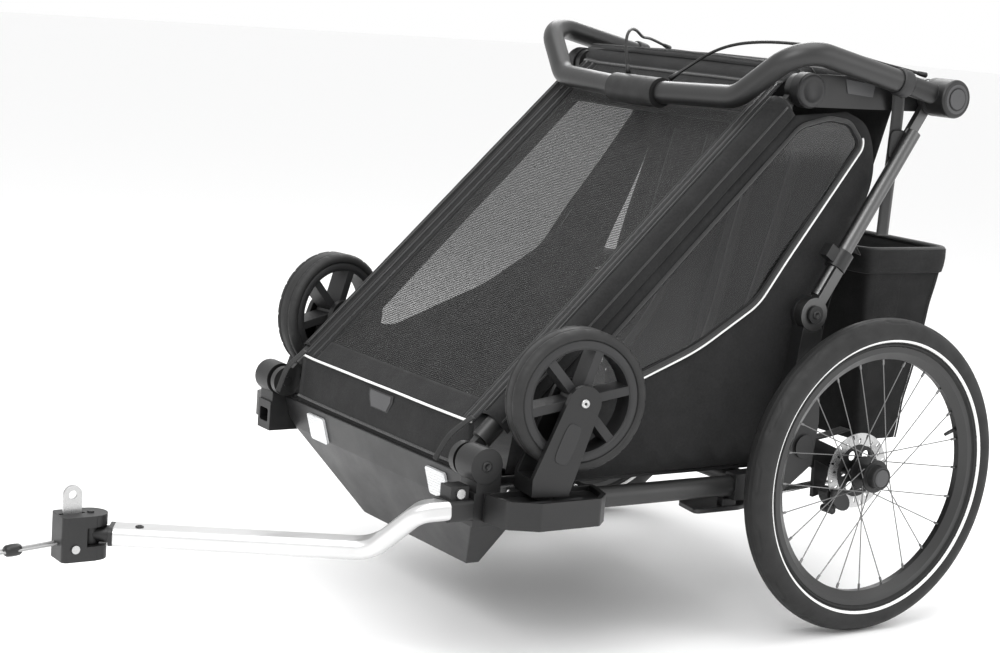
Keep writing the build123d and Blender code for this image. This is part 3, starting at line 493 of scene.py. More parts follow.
def turned(name, profile, centre, axis, material, segments=64, wave=None):
    """A ring or disc turned about an axis. The profile is a list of (along, radius)."""
    axis = Vector(axis).normalized()
    first = axis.orthogonal().normalized()
    second = axis.cross(first)
    rows = []
    for i in range(segments + 1):
        turn = 2 * math.pi * i / segments
        way = first * math.cos(turn) + second * math.sin(turn)
        row = []
        for k, (along, radius) in enumerate(profile):
            size = radius + (wave(i, k, along) if wave else 0)
            row.append(Vector(centre) + axis * along + way * size)
        rows.append(row)
    made = grid(name, rows, material)
    work = bmesh.new()
    work.from_mesh(made.data)
    bmesh.ops.remove_doubles(work, verts=work.verts, dist=1e-6)
    bmesh.ops.recalc_face_normals(work, faces=work.faces)
    work.to_mesh(made.data)
    work.free()
    return made


def sided(points, side):
    """The points of a left-hand piece, moved to the given side."""
    return [Vector((p[0] * side, p[1], p[2])) for p in points]


# ---------------------------------------------------------------- CAD nodes keep their shape
NODE_MATERIALS = {
    "side_tubes": TUBE, "cross_tubes": TUBE, "front_tubes": TUBE, "front_cross_tube": TUBE,
    "handlebar": TUBE, "rear_tubes": GREY_TUBE, "tow_arm": ARM, "nose_brackets": PLASTIC,
    "rear_brackets": PLASTIC, "top_arms": PLASTIC, "handlebar_ends": PLASTIC, "hub_rings": SOFT_PLASTIC,
    "lock_sleeve_left": PLASTIC, "lock_sleeve_right": PLASTIC, "caster_fork_left": PLASTIC,
    "caster_fork_right": PLASTIC, "caster_rim_left": SOFT_PLASTIC, "caster_rim_right": SOFT_PLASTIC,
    "tow_arm_fitting": PLASTIC, "hitch_neck": PLASTIC, "hitch_head": PLASTIC, "swing_arm_left": PLASTIC,
    "swing_arm_right": PLASTIC, "floor_pan": SOFT_PLASTIC, "bumper": KEEL, "skids": KEEL,
    "reflectors": REFLECTOR, "leaf_springs": STEEL, "hitch_plate": STEEL, "brake_disc_left": STEEL,
    "brake_disc_right": STEEL, "handlebar_button_left": LIGHT_PLASTIC,
    "handlebar_button_right": LIGHT_PLASTIC,
    "wheel_button_left": LIGHT_PLASTIC, "wheel_button_right": LIGHT_PLASTIC, "hitch_button": STEEL,
    "tow_arm_button": STEEL, "rim_left": RIM, "rim_right": RIM, "wheel_hub_left": PLASTIC,
    "wheel_hub_right": PLASTIC, "spokes_left": SPOKE, "spokes_right": SPOKE, "brake_grip": GRIP,
}
for node, material in NODE_MATERIALS.items():
    frame["nodes"][node].data.materials.clear()
    frame["nodes"][node].data.materials.append(material)


# ---------------------------------------------------------------- front cover
COVER_HALF = 0.2585
STRIPE_AT = 0.047
SEAM_AT = FRONT_LENGTH - 0.004


def cover_height(x, along):
    """How far the cover stands above the tubes' line: taut at its edges, slack in between."""
    across = 1 - (x / COVER_HALF) ** 2
    up = max(0.0, min(1.0, (along - STRIPE_AT) / (SEAM_AT - STRIPE_AT)))
    slack = 0.0055 * across * math.sin(math.pi * up) ** 0.8
    edge = 0.0035 * math.exp(-((abs(x) - COVER_HALF) / 0.02) ** 2)
    pucker = 0.0005 * math.sin(along * 330) * math.exp(-((abs(x) - 0.232) / 0.012) ** 2)
    fold = 0.0012 * noise.noise(Vector((x * 9, along * 5, 0.3))) * across
    return 0.0145 - slack + edge + pucker + fold


def cover_point(x, along, lift=0.0):
    return on_front(x, along, cover_height(x, along) + lift)


def cover_rows(first, last, count, half, columns, lift=0.0):
    rows = []
    for r in range(count + 1):
        along = first + (last - first) * r / count
        rows.append([cover_point(half * (2 * c / columns - 1), along, lift) for c in range(columns + 1)])
    return rows


def build_cover():
    mesh_sheet = grid(
        "front_cover_mesh",
        cover_rows(STRIPE_AT + 0.035, SEAM_AT - 0.03, 84, COVER_HALF - 0.03, 44), MESH
    )
    thicken(mesh_sheet, 0.0009)
    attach(mesh_sheet, "front_frame")
    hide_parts("front_cover")
    # cloth borders round the mesh: two at the sides, one at the top and one at the bottom
    for side, sign in SIDES:
        rows = []
        for r in range(101):
            along = STRIPE_AT + (SEAM_AT - STRIPE_AT) * r / 100
            rows.append([
                cover_point(sign * (COVER_HALF - 0.036 + 0.036 * c / 8), along, 0.0006)
                for c in range(9)
            ])
        border = grid(f"cover_border_{side}", rows, BODY_CLOTH)
        thicken(border, 0.0012)
        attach(border, "front_frame")
    for name, first, last in (("bottom", STRIPE_AT, STRIPE_AT + 0.042), ("top", SEAM_AT - 0.036, SEAM_AT)):
        band = grid(
            f"cover_band_{name}", cover_rows(first, last, 8, COVER_HALF - 0.03, 40, 0.0004),
            BODY_CLOTH
        )
        thicken(band, 0.0012)
        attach(band, "front_frame")


def build_apron():
    """The dark cloth below the white stripe, down to just above the bumper."""
    foot_y, foot_z = NOSE.y + 0.0165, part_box("bumper")[1].z - 0.008
    rows = []
    for r in range(11):
        t = r / 10
        row = []
        for c in range(41):
            x = COVER_HALF * (2 * c / 40 - 1)
            top = cover_point(x, STRIPE_AT, -0.001)
            ease = t * t * 0.35 + t * 0.65
            bulge = 0.004 * math.sin(math.pi * t) * (1 - (x / COVER_HALF) ** 4)
            row.append(Vector((x, top.y + (foot_y - top.y) * ease - bulge, top.z + (foot_z - top.z) * t)))
        rows.append(row)
    apron = grid("cover_apron", rows, BODY_CLOTH)
    thicken(apron, 0.0014)
    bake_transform(apron)
    stripe_points = [
        cover_point(COVER_HALF * (2 * c / 40 - 1) * 0.985, STRIPE_AT, 0.0012) for c in range(41)
    ]
    stripe = rod("cover_stripe", stripe_points, 0.0021, PIPING, 8)
    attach(stripe, "front_frame")
    hem_points = [point + Vector((0, -0.0012, 0.0)) for point in rows[-3]]
    hem = rod("cover_hem", hem_points, 0.0024, WEBBING, 8, flat=0.6)
    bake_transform(hem)
    # blank badge: a small six-sided patch with a raised border, just below the stripe
    outline = (
        (-0.036, 0.006), (0.036, 0.006), (0.036, 0.016), (0.026, 0.034), (-0.026, 0.034),
        (-0.036, 0.016)
    )
    top, foot = Vector(rows[0][20]), Vector(rows[-1][20])
    run = (foot - top).normalized()
    out = Vector((0, run.z, -run.y))
    if out.y > 0:
        out = -out
    for name, grow, lift, material in (
        ("badge_border", 1.0, 0.0026, SOFT_PLASTIC), ("badge_plate", 0.86, 0.0036, LIGHT_PLASTIC)
    ):
        points = []
        for x, down in outline:
            middle = 0.02
            points.append(
                top + run * (middle + (down - middle) * grow) + Vector((x * grow, 0, 0))
                + out * lift
            )
        plate = outline_solid(name, points, out * 0.0018, material, 0.0007)
        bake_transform(plate)


def build_zip(name, points, up, body, width=0.0052, blend=None):
    """A closed zip, drawn as one flattened rod along the points."""
    rail = rod(name, points, width / 2, ZIP, 8, flat=0.42, up=up)
    if blend:
        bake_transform(rail)
    else:
        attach(rail, body)
    return rail


def build_cover_trim():
    for side, sign in SIDES:
        for name, inset in (("outer", 0.0095), ("inner", 0.0255)):
            x = sign * (COVER_HALF - inset)
            points = [
                cover_point(x, STRIPE_AT + 0.004 + (SEAM_AT - STRIPE_AT - 0.01) * k / 90, 0.0016)
                for k in range(91)
            ]
            build_zip(f"cover_zip_{name}_{side}", points, FRONT_UP, "front_frame")
        # zip puller tab near the foot
        start = cover_point(sign * (COVER_HALF - 0.004), STRIPE_AT + 0.006, 0.005)
        end = start + Vector((-0.012 * sign, -0.052, -0.062))
        middle = start.lerp(end, 0.45) + Vector((0, -0.010, 0.002))
        strap(
            f"cover_puller_{side}", [start, middle, end], (0.6, 0.5, -0.4), 0.008, WEBBING,
            body="front_frame"
        )
    seam = rod(
        "cover_top_seam",
        [cover_point(COVER_HALF * (2 * c / 40 - 1), SEAM_AT - 0.006, 0.0016) for c in range(41)],
        0.0028, WEBBING, 8, flat=0.5, up=FRONT_UP
    )
    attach(seam, "front_frame")


def build_tube_sleeves():
    """Cloth sleeves wrap the front tubes and join the cover to the side panels."""
    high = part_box("front_tubes")[1]
    outer = high.x
    profile = (
        (COVER_HALF - 0.004, 0.0175), (0.264, 0.0196), (0.2715, 0.0208), (0.279, 0.0196),
        (0.2862, 0.0145), (0.2902, 0.006), (0.2912, -0.004), (0.2908, -0.0165)
    )
    for side, sign in SIDES:
        rows = []
        for r in range(61):
            along = 0.066 + (FRONT_LENGTH - 0.105) * r / 60
            row = []
            curve = smoothed([(px, pa, 0) for px, pa in profile], 3)
            for point in curve:
                wobble = 0.0005 * noise.noise(Vector((point.x * 60, along * 22, 1.7)))
                row.append(on_front(sign * min(point.x, outer + 0.004), along, point.y + wobble))
            rows.append(row)
        sleeve = grid(f"tube_sleeve_{side}", rows, BODY_CLOTH)
        thicken(sleeve, 0.0012)
        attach(sleeve, "front_frame")
        for name, x, above in (("top", 0.266, 0.0222), ("side", 0.2912, 0.0035)):
            points = [on_front(sign * x, 0.07 + (FRONT_LENGTH - 0.113) * k / 60, above) for k in range(61)]
            welt = rod(f"sleeve_welt_{name}_{side}", points, 0.0017, WEBBING, 6)
            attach(welt, "front_frame")


# ---------------------------------------------------------------- roof
def build_roof():
    low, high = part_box("roof_panel")
    half = high.x - 0.001
    rows = []
    count = 16
    for r in range(count + 1):
        t = r / count
        y = low.y - 0.004 + (high.y - low.y + 0.006) * t
        row = []
        for c in range(49):
            x = half * (2 * c / 48 - 1)
            crown = 0.0035 * (1 - (x / half) ** 2)
            ridge = 0.0035 * math.exp(-((t - 0.06) / 0.16) ** 2)
            hang = -0.010 * max(0.0, (abs(x) - half + 0.016) / 0.016) ** 2
            front = -0.010 * math.exp(-t / 0.045)
            rear = -0.006 * math.exp(-(1 - t) / 0.06)
            ruck = 0.0012 * noise.noise(Vector((x * 14, y * 26, 4.1)))
            row.append(Vector((x, y, low.z + 0.0025 + crown + ridge + hang + front + rear + ruck)))
        rows.append(row)
    roof = grid("roof_cloth", rows, BODY_CLOTH)
    thicken(roof, 0.0016)
    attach(roof, "top_arms")
    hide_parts("roof_panel")
    for name, index, lift in (("front", 1, 0.002), ("rear", 15, 0.002), ("middle", 9, 0.0014)):
        points = [point + Vector((0, 0, lift)) for point in rows[index]]
        seam = rod(f"roof_seam_{name}", points, 0.0013, WEBBING, 6, flat=0.5, up=(0, 0, 1))
        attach(seam, "top_arms")
    # the flap that closes the gap between the cover's top and the roof's front edge
    flap_rows = []
    for r in range(7):
        t = r / 6
        row = []
        for c in range(41):
            x = COVER_HALF * (2 * c / 40 - 1)
            start = cover_point(x, SEAM_AT - 0.004, -0.001)
            end = Vector((x * 1.1, rows[0][24].y + 0.004, rows[0][24].z + 0.001))
            point = start.lerp(end, t)
            point.y -= 0.003 * math.sin(math.pi * t)
            row.append(point)
        flap_rows.append(row)
    flap = grid("roof_flap", flap_rows, BODY_CLOTH)
    thicken(flap, 0.0012)
    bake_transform(flap)


# ---------------------------------------------------------------- side panels and windows
WINDOW = (
    (-0.137, 0.780), (-0.082, 0.793), (-0.042, 0.788), (-0.017, 0.761), (-0.152, 0.584),
    (-0.198, 0.520), (-0.308, 0.454), (-0.487, 0.385), (-0.536, 0.390),
)


def window_outline(grow=0.0, steps=8):
    """The window's edge, its corners rounded, grown outwards by grow, as (y, z)."""
    points = [Vector((0, y, z)) for y, z in WINDOW]
    middle = sum(points, Vector()) / len(points)
    rounded = []
    count = len(points)
    for i, point in enumerate(points):
        before, after = points[i - 1], points[(i + 1) % count]
        reach = 0.24 * min((before - point).length, (after - point).length)
        reach = min(reach, 0.05)
        start = point + (before - point).normalized() * reach
        end = point + (after - point).normalized() * reach
        for k in range(steps + 1):
            t = k / steps
            rounded.append(start * (1 - t) ** 2 + point * 2 * t * (1 - t) + end * t * t)
    if grow:
        moved = []
        total = len(rounded)
        for i, point in enumerate(rounded):
            run = (rounded[(i + 1) % total] - rounded[i - 1]).normalized()
            out = Vector((0, run.z, -run.y))
            if out.dot(point - middle) < 0:
                out = -out
            moved.append(point + out * grow)
        rounded = moved
    return rounded


def panel_outline():
    """The side panel's edge, from its lower front corner round to its lower rear one."""
    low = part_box("side_panels")[0]
    bumper_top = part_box("bumper")[1].z + 0.004
    front_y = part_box("bumper")[1].y + 0.008
    points = [
        Vector((0, front_y, low.z)), Vector((0, front_y, bumper_top)),
        Vector((0, front_y - 0.064, bumper_top))
    ]
    for k in range(15):
        along = 0.085 + 0.65 * k / 14
        point = on_front(0, along, -0.015)
        points.append(Vector((0, point.y, point.z)))
    rear = smoothed(
        [
            (0, -0.046, 0.809), (0, -0.004, 0.79), (0, 0.018, 0.745), (0, 0.018, 0.69),
            (0, -0.02, 0.6), (0, -0.058, 0.516), (0, -0.1, 0.415), (0, -0.134, 0.335),
            (0, -0.144, 0.262)
        ],
        5
    )
    return points + rear


def filled(name, outer, hole, x, material):
    """A flat sheet at x with an outline and a hole, cut into even cells, with UVs in metres."""
    work = bmesh.new()
    edges = []
    for loop in (outer, hole):
        if not loop:
            continue
        made = [work.verts.new((x, p.y, p.z)) for p in loop]
        for i in range(len(made)):
            edges.append(work.edges.new((made[i], made[(i + 1) % len(made)])))
    bmesh.ops.triangle_fill(work, use_beauty=True, use_dissolve=False, edges=edges)
    for _ in range(3):
        long_edges = [e for e in work.edges if e.calc_length() > 0.028]
        if long_edges:
            bmesh.ops.subdivide_edges(work, edges=long_edges, cuts=1)
        bmesh.ops.triangulate(work, faces=[f for f in work.faces if len(f.verts) > 3])
        bmesh.ops.beautify_fill(work, faces=work.faces, edges=[e for e in work.edges if not e.is_boundary])
    mesh = bpy.data.meshes.new(name)
    work.to_mesh(mesh)
    work.free()
    layer = mesh.uv_layers.new(name="UVMap")
    for loop in mesh.loops:
        point = mesh.vertices[loop.vertex_index].co
        layer.data[loop.index].uv = (point.y, point.z)
    return new_object(name, mesh, material)


def bow(piece, side, depth, scale, keep=None):
    """Moves a side sheet in and out by a little: cloth under tension is never quite flat."""
    for vertex in piece.data.vertices:
        point = vertex.co
        edge = 1.0 if keep is None else keep(point)
        push = noise.noise(Vector((0.4, point.y * scale, point.z * scale))) * depth
        vertex.co.x += side * push * edge


def build_side(side, sign):
    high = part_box("side_panels")[1]
    x = high.x * sign
    outer = panel_outline()
    hole = window_outline()
    panel = filled(f"side_cloth_{side}", outer, hole, x, BODY_CLOTH)
    bow(panel, sign, 0.0026, 11)
    thicken(panel, 0.0014)
    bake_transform(panel)
    film = filled(f"side_film_{side}", window_outline(0.005), None, x - sign * 0.0012, FILM)
    bow(film, sign, 0.0022, 7)
    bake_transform(film)
    edge = window_outline(0.005)
    if side == "left":
        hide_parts("side_panels")
        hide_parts("side_windows")
    for name, grow, size, material, slot in (
        ("binding", 0.006, 0.0036, WEBBING, "webbing"), ("piping", 0.0125, 0.0017, PIPING, "piping")
    ):
        ring = [Vector((x + sign * 0.0018, p.y, p.z)) for p in window_outline(grow)]
        if name == "piping":
            # the white line runs along the window's foot and rear edge, and not under the tube
            ring = ring[9 * 3 + 2 : 9 * 8 - 2]
            edging = rod(f"window_{name}_{side}", ring, size, material, 8)
        else:
            edging = rod(
                f"window_{name}_{side}", ring, size, material, 8, closed=True, flat=0.6,
                up=(1, 0, 0)
            )
        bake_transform(edging)


# ---------------------------------------------------------------- back panel and seats
def build_back_panel():
    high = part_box("back_panel")[1]
    path = smoothed(
        [
            (0, -0.058, 0.263), (0, -0.052, 0.37), (0, -0.043, 0.48), (0, -0.012, 0.6),
            (0, 0.03, 0.74), (0, 0.068, 0.862)
        ],
        6
    )
    half = high.x
    rows = []
    for point in path:
        row = []
        wide = half + 0.028 * max(0.0, min(1.0, (point.z - 0.34) / 0.05))
        for c in range(33):
            x = wide * (2 * c / 32 - 1)
            belly = 0.006 * (1 - (x / wide) ** 2)
            wrinkle = 0.003 * noise.noise(Vector((x * 6, point.z * 9, 2.2)))
            row.append(Vector((x, point.y + belly + wrinkle, point.z)))
        rows.append(row)
    panel = grid("back_cloth", rows, BODY_CLOTH)
    thicken(panel, 0.0016)
    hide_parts("back_panel")
    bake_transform(panel)


def pad(name, centre_x, half, path, thickness, out, channels, material):
    """A crowned pad along a path of (y, z) points, with sewn channels across it."""
    path = smoothed([(0, y, z) for y, z in path], 8)
    count = len(path)
    front, back = [], []
    for r, point in enumerate(path):
        t = r / (count - 1)
        ahead = path[min(r + 1, count - 1)] - path[max(r - 1, 0)]
        normal = Vector((0, -ahead.z, ahead.y)).normalized()
        if normal.dot(Vector(out)) < 0:
            normal = -normal
        top_row, low_row = [], []
        for c in range(25):
            u = 2 * c / 24 - 1
            corner = (1 - abs(u) ** 4.5) ** 0.5 * (1 - abs(2 * t - 1) ** 7) ** 0.5
            channel = 1 - 0.22 * math.exp(-((math.fmod(t * channels, 1) - 0.5) / 0.1) ** 2)
            crown = thickness * corner * channel
            pull = 1 - 0.03 * (1 - abs(2 * t - 1) ** 2)
            x = centre_x + half * u * pull
            place = Vector((x, point.y, point.z))
            top_row.append(place + normal * crown)
            low_row.append(place - normal * 0.004 * corner)
        front.append(top_row)
        back.append(low_row)
    rows = front + back[::-1]
    made = grid(name, rows, material)
    work = bmesh.new()
    work.from_mesh(made.data)
    bmesh.ops.remove_doubles(work, verts=work.verts, dist=1e-5)
    bmesh.ops.holes_fill(work, edges=[e for e in work.edges if e.is_boundary])
    bmesh.ops.recalc_face_normals(work, faces=work.faces)
    work.to_mesh(made.data)
    work.free()
    return made


def build_seats():
    low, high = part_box("seat_base")
    for side, sign in SIDES:
        centre = sign * high.x / 2
        half = high.x / 2 - 0.006
        base = pad(
            f"seat_pad_{side}", centre, half,
            (
                (low.y + 0.006, low.z + 0.005), ((low.y + high.y) / 2, low.z + 0.005),
                (high.y - 0.006, low.z + 0.005)
            ),
            high.z - low.z - 0.004, (0, 0, 1), 4, SEAT_CLOTH
        )
        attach(base, "chassis")
        rest = pad(
            f"backrest_pad_{side}", centre, half,
            ((-0.098, 0.312), (-0.040, 0.545), (0.018, 0.778)), 0.024, (0, -1, 0.2), 6, SEAT_CLOTH
        )
        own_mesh(rest)
        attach(rest, "chassis")
        if side == "left":
            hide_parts("seat_base")
            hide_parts("seat_back")
        for name, shift in (("inner", -0.045), ("outer", 0.045)):
            x = centre + shift
            harness = strap(
                f"harness_{name}_{side}",
                [
                    (x, -0.018, 0.74), (x, -0.055, 0.6), (centre + shift * 0.8, -0.094, 0.46),
                    (centre + shift * 0.3, -0.150, 0.36)
                ],
                (1, 0, 0), 0.025, WEBBING
            )
            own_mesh(harness)
            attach(harness, "chassis")


# ---------------------------------------------------------------- cargo bag
def bag_ring(t, inset):
    """One level of the bag, t from its floor to its rim, as a closed ring of points."""
    low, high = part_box("cargo_bag")
    z = low.z + (high.z - low.z) * t
    half = high.x - 0.013 * (1 - t) - inset
    front_y = 0.105 + (0.072 - 0.105) * t + inset
    rear_y = 0.205 + (0.268 - 0.205) * t - inset
    middle, depth = (front_y + rear_y) / 2, (rear_y - front_y) / 2
    ring = []
    count = 72
    for k in range(count):
        turn = 2 * math.pi * k / count
        c, s = math.cos(turn), math.sin(turn)
        power = 0.16
        x = half * math.copysign(abs(c) ** power, c) if abs(c) > 1e-9 else 0.0
        y = depth * math.copysign(abs(s) ** power, s) if abs(s) > 1e-9 else 0.0
        sag = math.sin(math.pi * min(1.0, t * 1.02)) ** 0.7
        pinch = 1 - 0.016 * sag * (0.5 + 0.5 * math.cos(4 * turn))
        ruck = 0.004 * sag * noise.noise(Vector((x * 9, y * 12, z * 14)))
        belly = 0.006 * sag * (1 - abs(c) ** 6)
        ring.append(Vector((
            x * pinch + ruck, middle + y * pinch + math.copysign(belly, y) * -0.6 + ruck, z
        )))
    return ring


def sink(piece):
    """Gives a piece of the soft bag a mesh of its own."""
    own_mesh(piece)


def build_bag():
    levels = [0.0, 0.02, 0.06, 0.12, 0.2, 0.3, 0.4, 0.5, 0.6, 0.7, 0.8, 0.88, 0.94, 0.985]
    outer = [bag_ring(t, 0.0012) for t in levels]
    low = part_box("cargo_bag")[0]
    shell = grid("cargo_bag_cloth", outer, BAG_CLOTH, closed=True)
    work = bmesh.new()
    work.from_mesh(shell.data)
    work.faces.new([v for v in work.verts if abs(v.co.z - low.z) < 1e-6])
    bmesh.ops.recalc_face_normals(work, faces=work.faces)
    work.to_mesh(shell.data)
    work.free()
    thicken(shell, 0.0022, offset=-1)
    sink(shell)
    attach(shell, "chassis")
    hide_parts("cargo_bag")
    rim = rod("cargo_bag_rim", bag_ring(0.985, 0.0022), 0.0042, WEBBING, 10, closed=True)
    sink(rim)
    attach(rim, "chassis")
    cuff = ((0.865, -0.0006), (0.87, -0.0030), (0.90, -0.0036), (0.94, -0.0032), (0.985, -0.0010))
    band = grid("cargo_bag_band", [bag_ring(t, inset) for t, inset in cuff], BODY_CLOTH, closed=True)
    thicken(band, 0.001, offset=1)
    sink(band)
    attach(band, "chassis")
    for side, sign in SIDES:
        seam_points = [bag_ring(t, -0.0006)[4 if sign > 0 else 32] for t in levels]
        seam = rod(f"cargo_bag_seam_{side}", smoothed(seam_points, 3), 0.0016, WEBBING, 6)
        sink(seam)
        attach(seam, "chassis")
        rear_points = [bag_ring(t, -0.0006)[14 if sign > 0 else 22] for t in levels]
        rear = rod(f"cargo_bag_rear_seam_{side}", smoothed(rear_points, 3), 0.0016, WEBBING, 6)
        sink(rear)
        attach(rear, "chassis")
        # webbing that holds the bag's front rim to the back panel
        hanger = strap(
            f"bag_hanger_{side}",
            [(sign * 0.21, 0.075, 0.575), (sign * 0.215, 0.045, 0.61), (sign * 0.22, 0.018, 0.66)],
            (1, 0, 0), 0.03, WEBBING
        )
        sink(hanger)
        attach(hanger, "chassis")
        strap(
            f"bag_foot_strap_{side}",
            [(sign * 0.2, 0.106, 0.28), (sign * 0.2, 0.03, 0.268), (sign * 0.2, -0.05, 0.272)],
            (1, 0, 0), 0.025, WEBBING, body="chassis"
        )


# ---------------------------------------------------------------- cords
def nurbs_cord(name, points, radius, material, body):
    """A smooth curve whose control points are the cord's route."""
    data = bpy.data.curves.new(name, "CURVE")
    data.dimensions = "3D"
    data.bevel_depth = radius
    data.bevel_resolution = 4
    data.resolution_u = 12
    data.use_fill_caps = True
    line = data.splines.new("NURBS")
    line.points.add(len(points) - 1)
    for target, point in zip(line.points, points):
        target.co = (*point, 1)
    line.order_u = 3
    line.use_endpoint_u = True
    data.materials.append(material)
    made = bpy.data.objects.new(name, data)
    bpy.context.scene.collection.objects.link(made)
    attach(made, body)
    return made


TETHER_ROUTE = (
    (0.025, -1.2025, 0.154), (0.024, -1.233, 0.151), (0.020, -1.264, 0.147), (0.012, -1.288, 0.145),
    (0.011, -1.306, 0.146), (0.019, -1.314, 0.147), (0.028, -1.305, 0.146), (0.029, -1.287, 0.145),
    (0.031, -1.262, 0.147), (0.036, -1.232, 0.151), (0.037, -1.2025, 0.154),
)
LEFT_CABLE_ROUTE = (
    (0.060, -0.215, 0.838), (0.072, -0.188, 0.860), (0.098, -0.172, 0.882), (0.140, -0.163, 0.898),
    (0.186, -0.147, 0.906), (0.232, -0.120, 0.908), (0.268, -0.084, 0.904), (0.296, -0.044, 0.896),
    (0.314, -0.002, 0.886), (0.323, 0.042, 0.879), (0.324, 0.074, 0.874),
)
RIGHT_CABLE_ROUTE = (
    (-0.045, -0.222, 0.838), (-0.052, -0.225, 0.870), (-0.060, -0.221, 0.896), (-0.076, -0.201, 0.909),
    (-0.110, -0.163, 0.906), (-0.146, -0.127, 0.898), (-0.188, -0.088, 0.893), (-0.232, -0.049, 0.892),
    (-0.272, -0.008, 0.890), (-0.302, 0.032, 0.884), (-0.318, 0.070, 0.875),
)


def build_cords():
    for name, route in (("left", LEFT_CABLE_ROUTE), ("right", RIGHT_CABLE_ROUTE)):
        cable = nurbs_cord(f"brake_cable_line_{name}", route, 0.0025, CABLE, "handlebar")
        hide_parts(f"brake_cable_{name}")
        for end, step in ((0, 1), (-1, -2)):
            start, ahead = Vector(route[end]), Vector(route[step])
            ferrule = rod(
                f"cable_ferrule_{name}_{'grip' if end == 0 else 'hub'}",
                [
                    start - (ahead - start).normalized() * 0.004, start.lerp(ahead, 0.2),
                    start.lerp(ahead, 0.4)
                ],
                lambda t: 0.0044 - 0.0012 * t, PLASTIC, 12
            )
            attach(ferrule, "handlebar")
    rope = nurbs_cord("tether_line", TETHER_ROUTE, 0.002, TETHER, "hitch_head")
    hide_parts("tether")
    middle = Vector((0.0255, -1.262, 0.1475))
    slider = turned(
        "tether_slider",
        (
            (-0.012, 0.0), (-0.012, 0.0062), (-0.009, 0.0082), (-0.003, 0.0088), (0.003, 0.0088),
            (0.009, 0.0082), (0.012, 0.0062), (0.012, 0.0)
        ),
        middle, (0.02, -1, -0.06), PLASTIC, 24
    )
    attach(slider, "hitch_head")


# ---------------------------------------------------------------- big wheels
def build_wheel(side, sign):
    body = f"wheel_{side}"
    low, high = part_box(f"tyre_{side}")
    centre = Vector(((low.x + high.x) / 2, AXLE.y, AXLE.z))
    half = (high.x - low.x) / 2
    outer = high.z - AXLE.z
    bead = 0.2072
    middle = (outer + bead) / 2 + 0.0005
    profile = []
    steps = 48
    for k in range(steps + 1):
        turn = math.pi * (-0.19 + 1.38 * k / steps)
        profile.append((-half * math.cos(turn), middle + (outer - middle) * math.sin(turn)))
    profile = [(along, max(radius, bead)) for along, radius in profile]
    profile = [(-0.0125, bead), *profile, (0.0125, bead)]

    def tread(i, k, along):
        """Thin cuts in the shoulders, each a flat-topped arch, and a groove beside the crown."""
        share = abs(along) / half
        turn = ((i + (13 if along > 0 else 0)) % 26) / 26
        if abs(share - 0.2) < 0.03:
            return -0.0007
        if 0.2 < turn < 0.55 and abs(share - 0.66) < 0.025:
            return -0.0014
        for foot in (0.12, 0.63):
            lean = foot + (0.08 if foot < 0.4 else -0.08) * (share - 0.42) / 0.24
            if 0.42 < share < 0.68 and abs(turn - lean) < 0.022:
                return -0.0014
        return 0.0

    segments = 416
    tyre = turned(f"tyre_tread_{side}", profile, centre, (1, 0, 0), TYRE, segments, tread)
    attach(tyre, body)
    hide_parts(f"tyre_{side}")
    # white reflective band on each side wall
    for face, way in (("out", sign), ("in", -sign)):
        band = []
        for radius in (0.2146, 0.2153, 0.2168, 0.2183, 0.2190):
            lean = (radius - middle) / (outer - middle)
            along = half * math.sqrt(max(0.0, 1 - lean * lean))
            lift = 0.0001 if radius in (0.2146, 0.2190) else 0.0007
            band.append((way * (along + lift), radius))
        ring = turned(f"tyre_band_{face}_{side}", band, centre, (1, 0, 0), PIPING, 128)
        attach(ring, body)
        bead_line = turned(
            f"tyre_bead_{face}_{side}",
            [(way * 0.0165, 0.2092), (way * 0.0176, 0.2100), (way * 0.0178, 0.2108), (way * 0.0176, 0.2114)],
            centre, (1, 0, 0), TYRE, 128
        )
        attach(bead_line, body)
    valve_way = Vector((0, math.cos(math.radians(20)), math.sin(math.radians(20))))
    start = centre + valve_way * 0.186
    valve = rod(
        f"valve_{side}", [start, start - valve_way * 0.012, start - valve_way * 0.022],
        lambda t: 0.0032 if t < 0.6 else 0.0026, SOFT_PLASTIC, 12
    )
    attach(valve, body)
    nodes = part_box(f"wheel_hub_{side}")
    face_x = nodes[1].x if sign > 0 else nodes[0].x
    cap = turned(
        f"hub_cap_ring_{side}",
        [
            (-0.004 * sign, 0.0178), (0.0002 * sign, 0.0182), (0.0010 * sign, 0.0170),
            (0.0010 * sign, 0.0150), (0.0, 0.0147)
        ],
        (face_x, 0, AXLE.z), (1, 0, 0), SOFT_PLASTIC, 48
    )
    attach(cap, body)


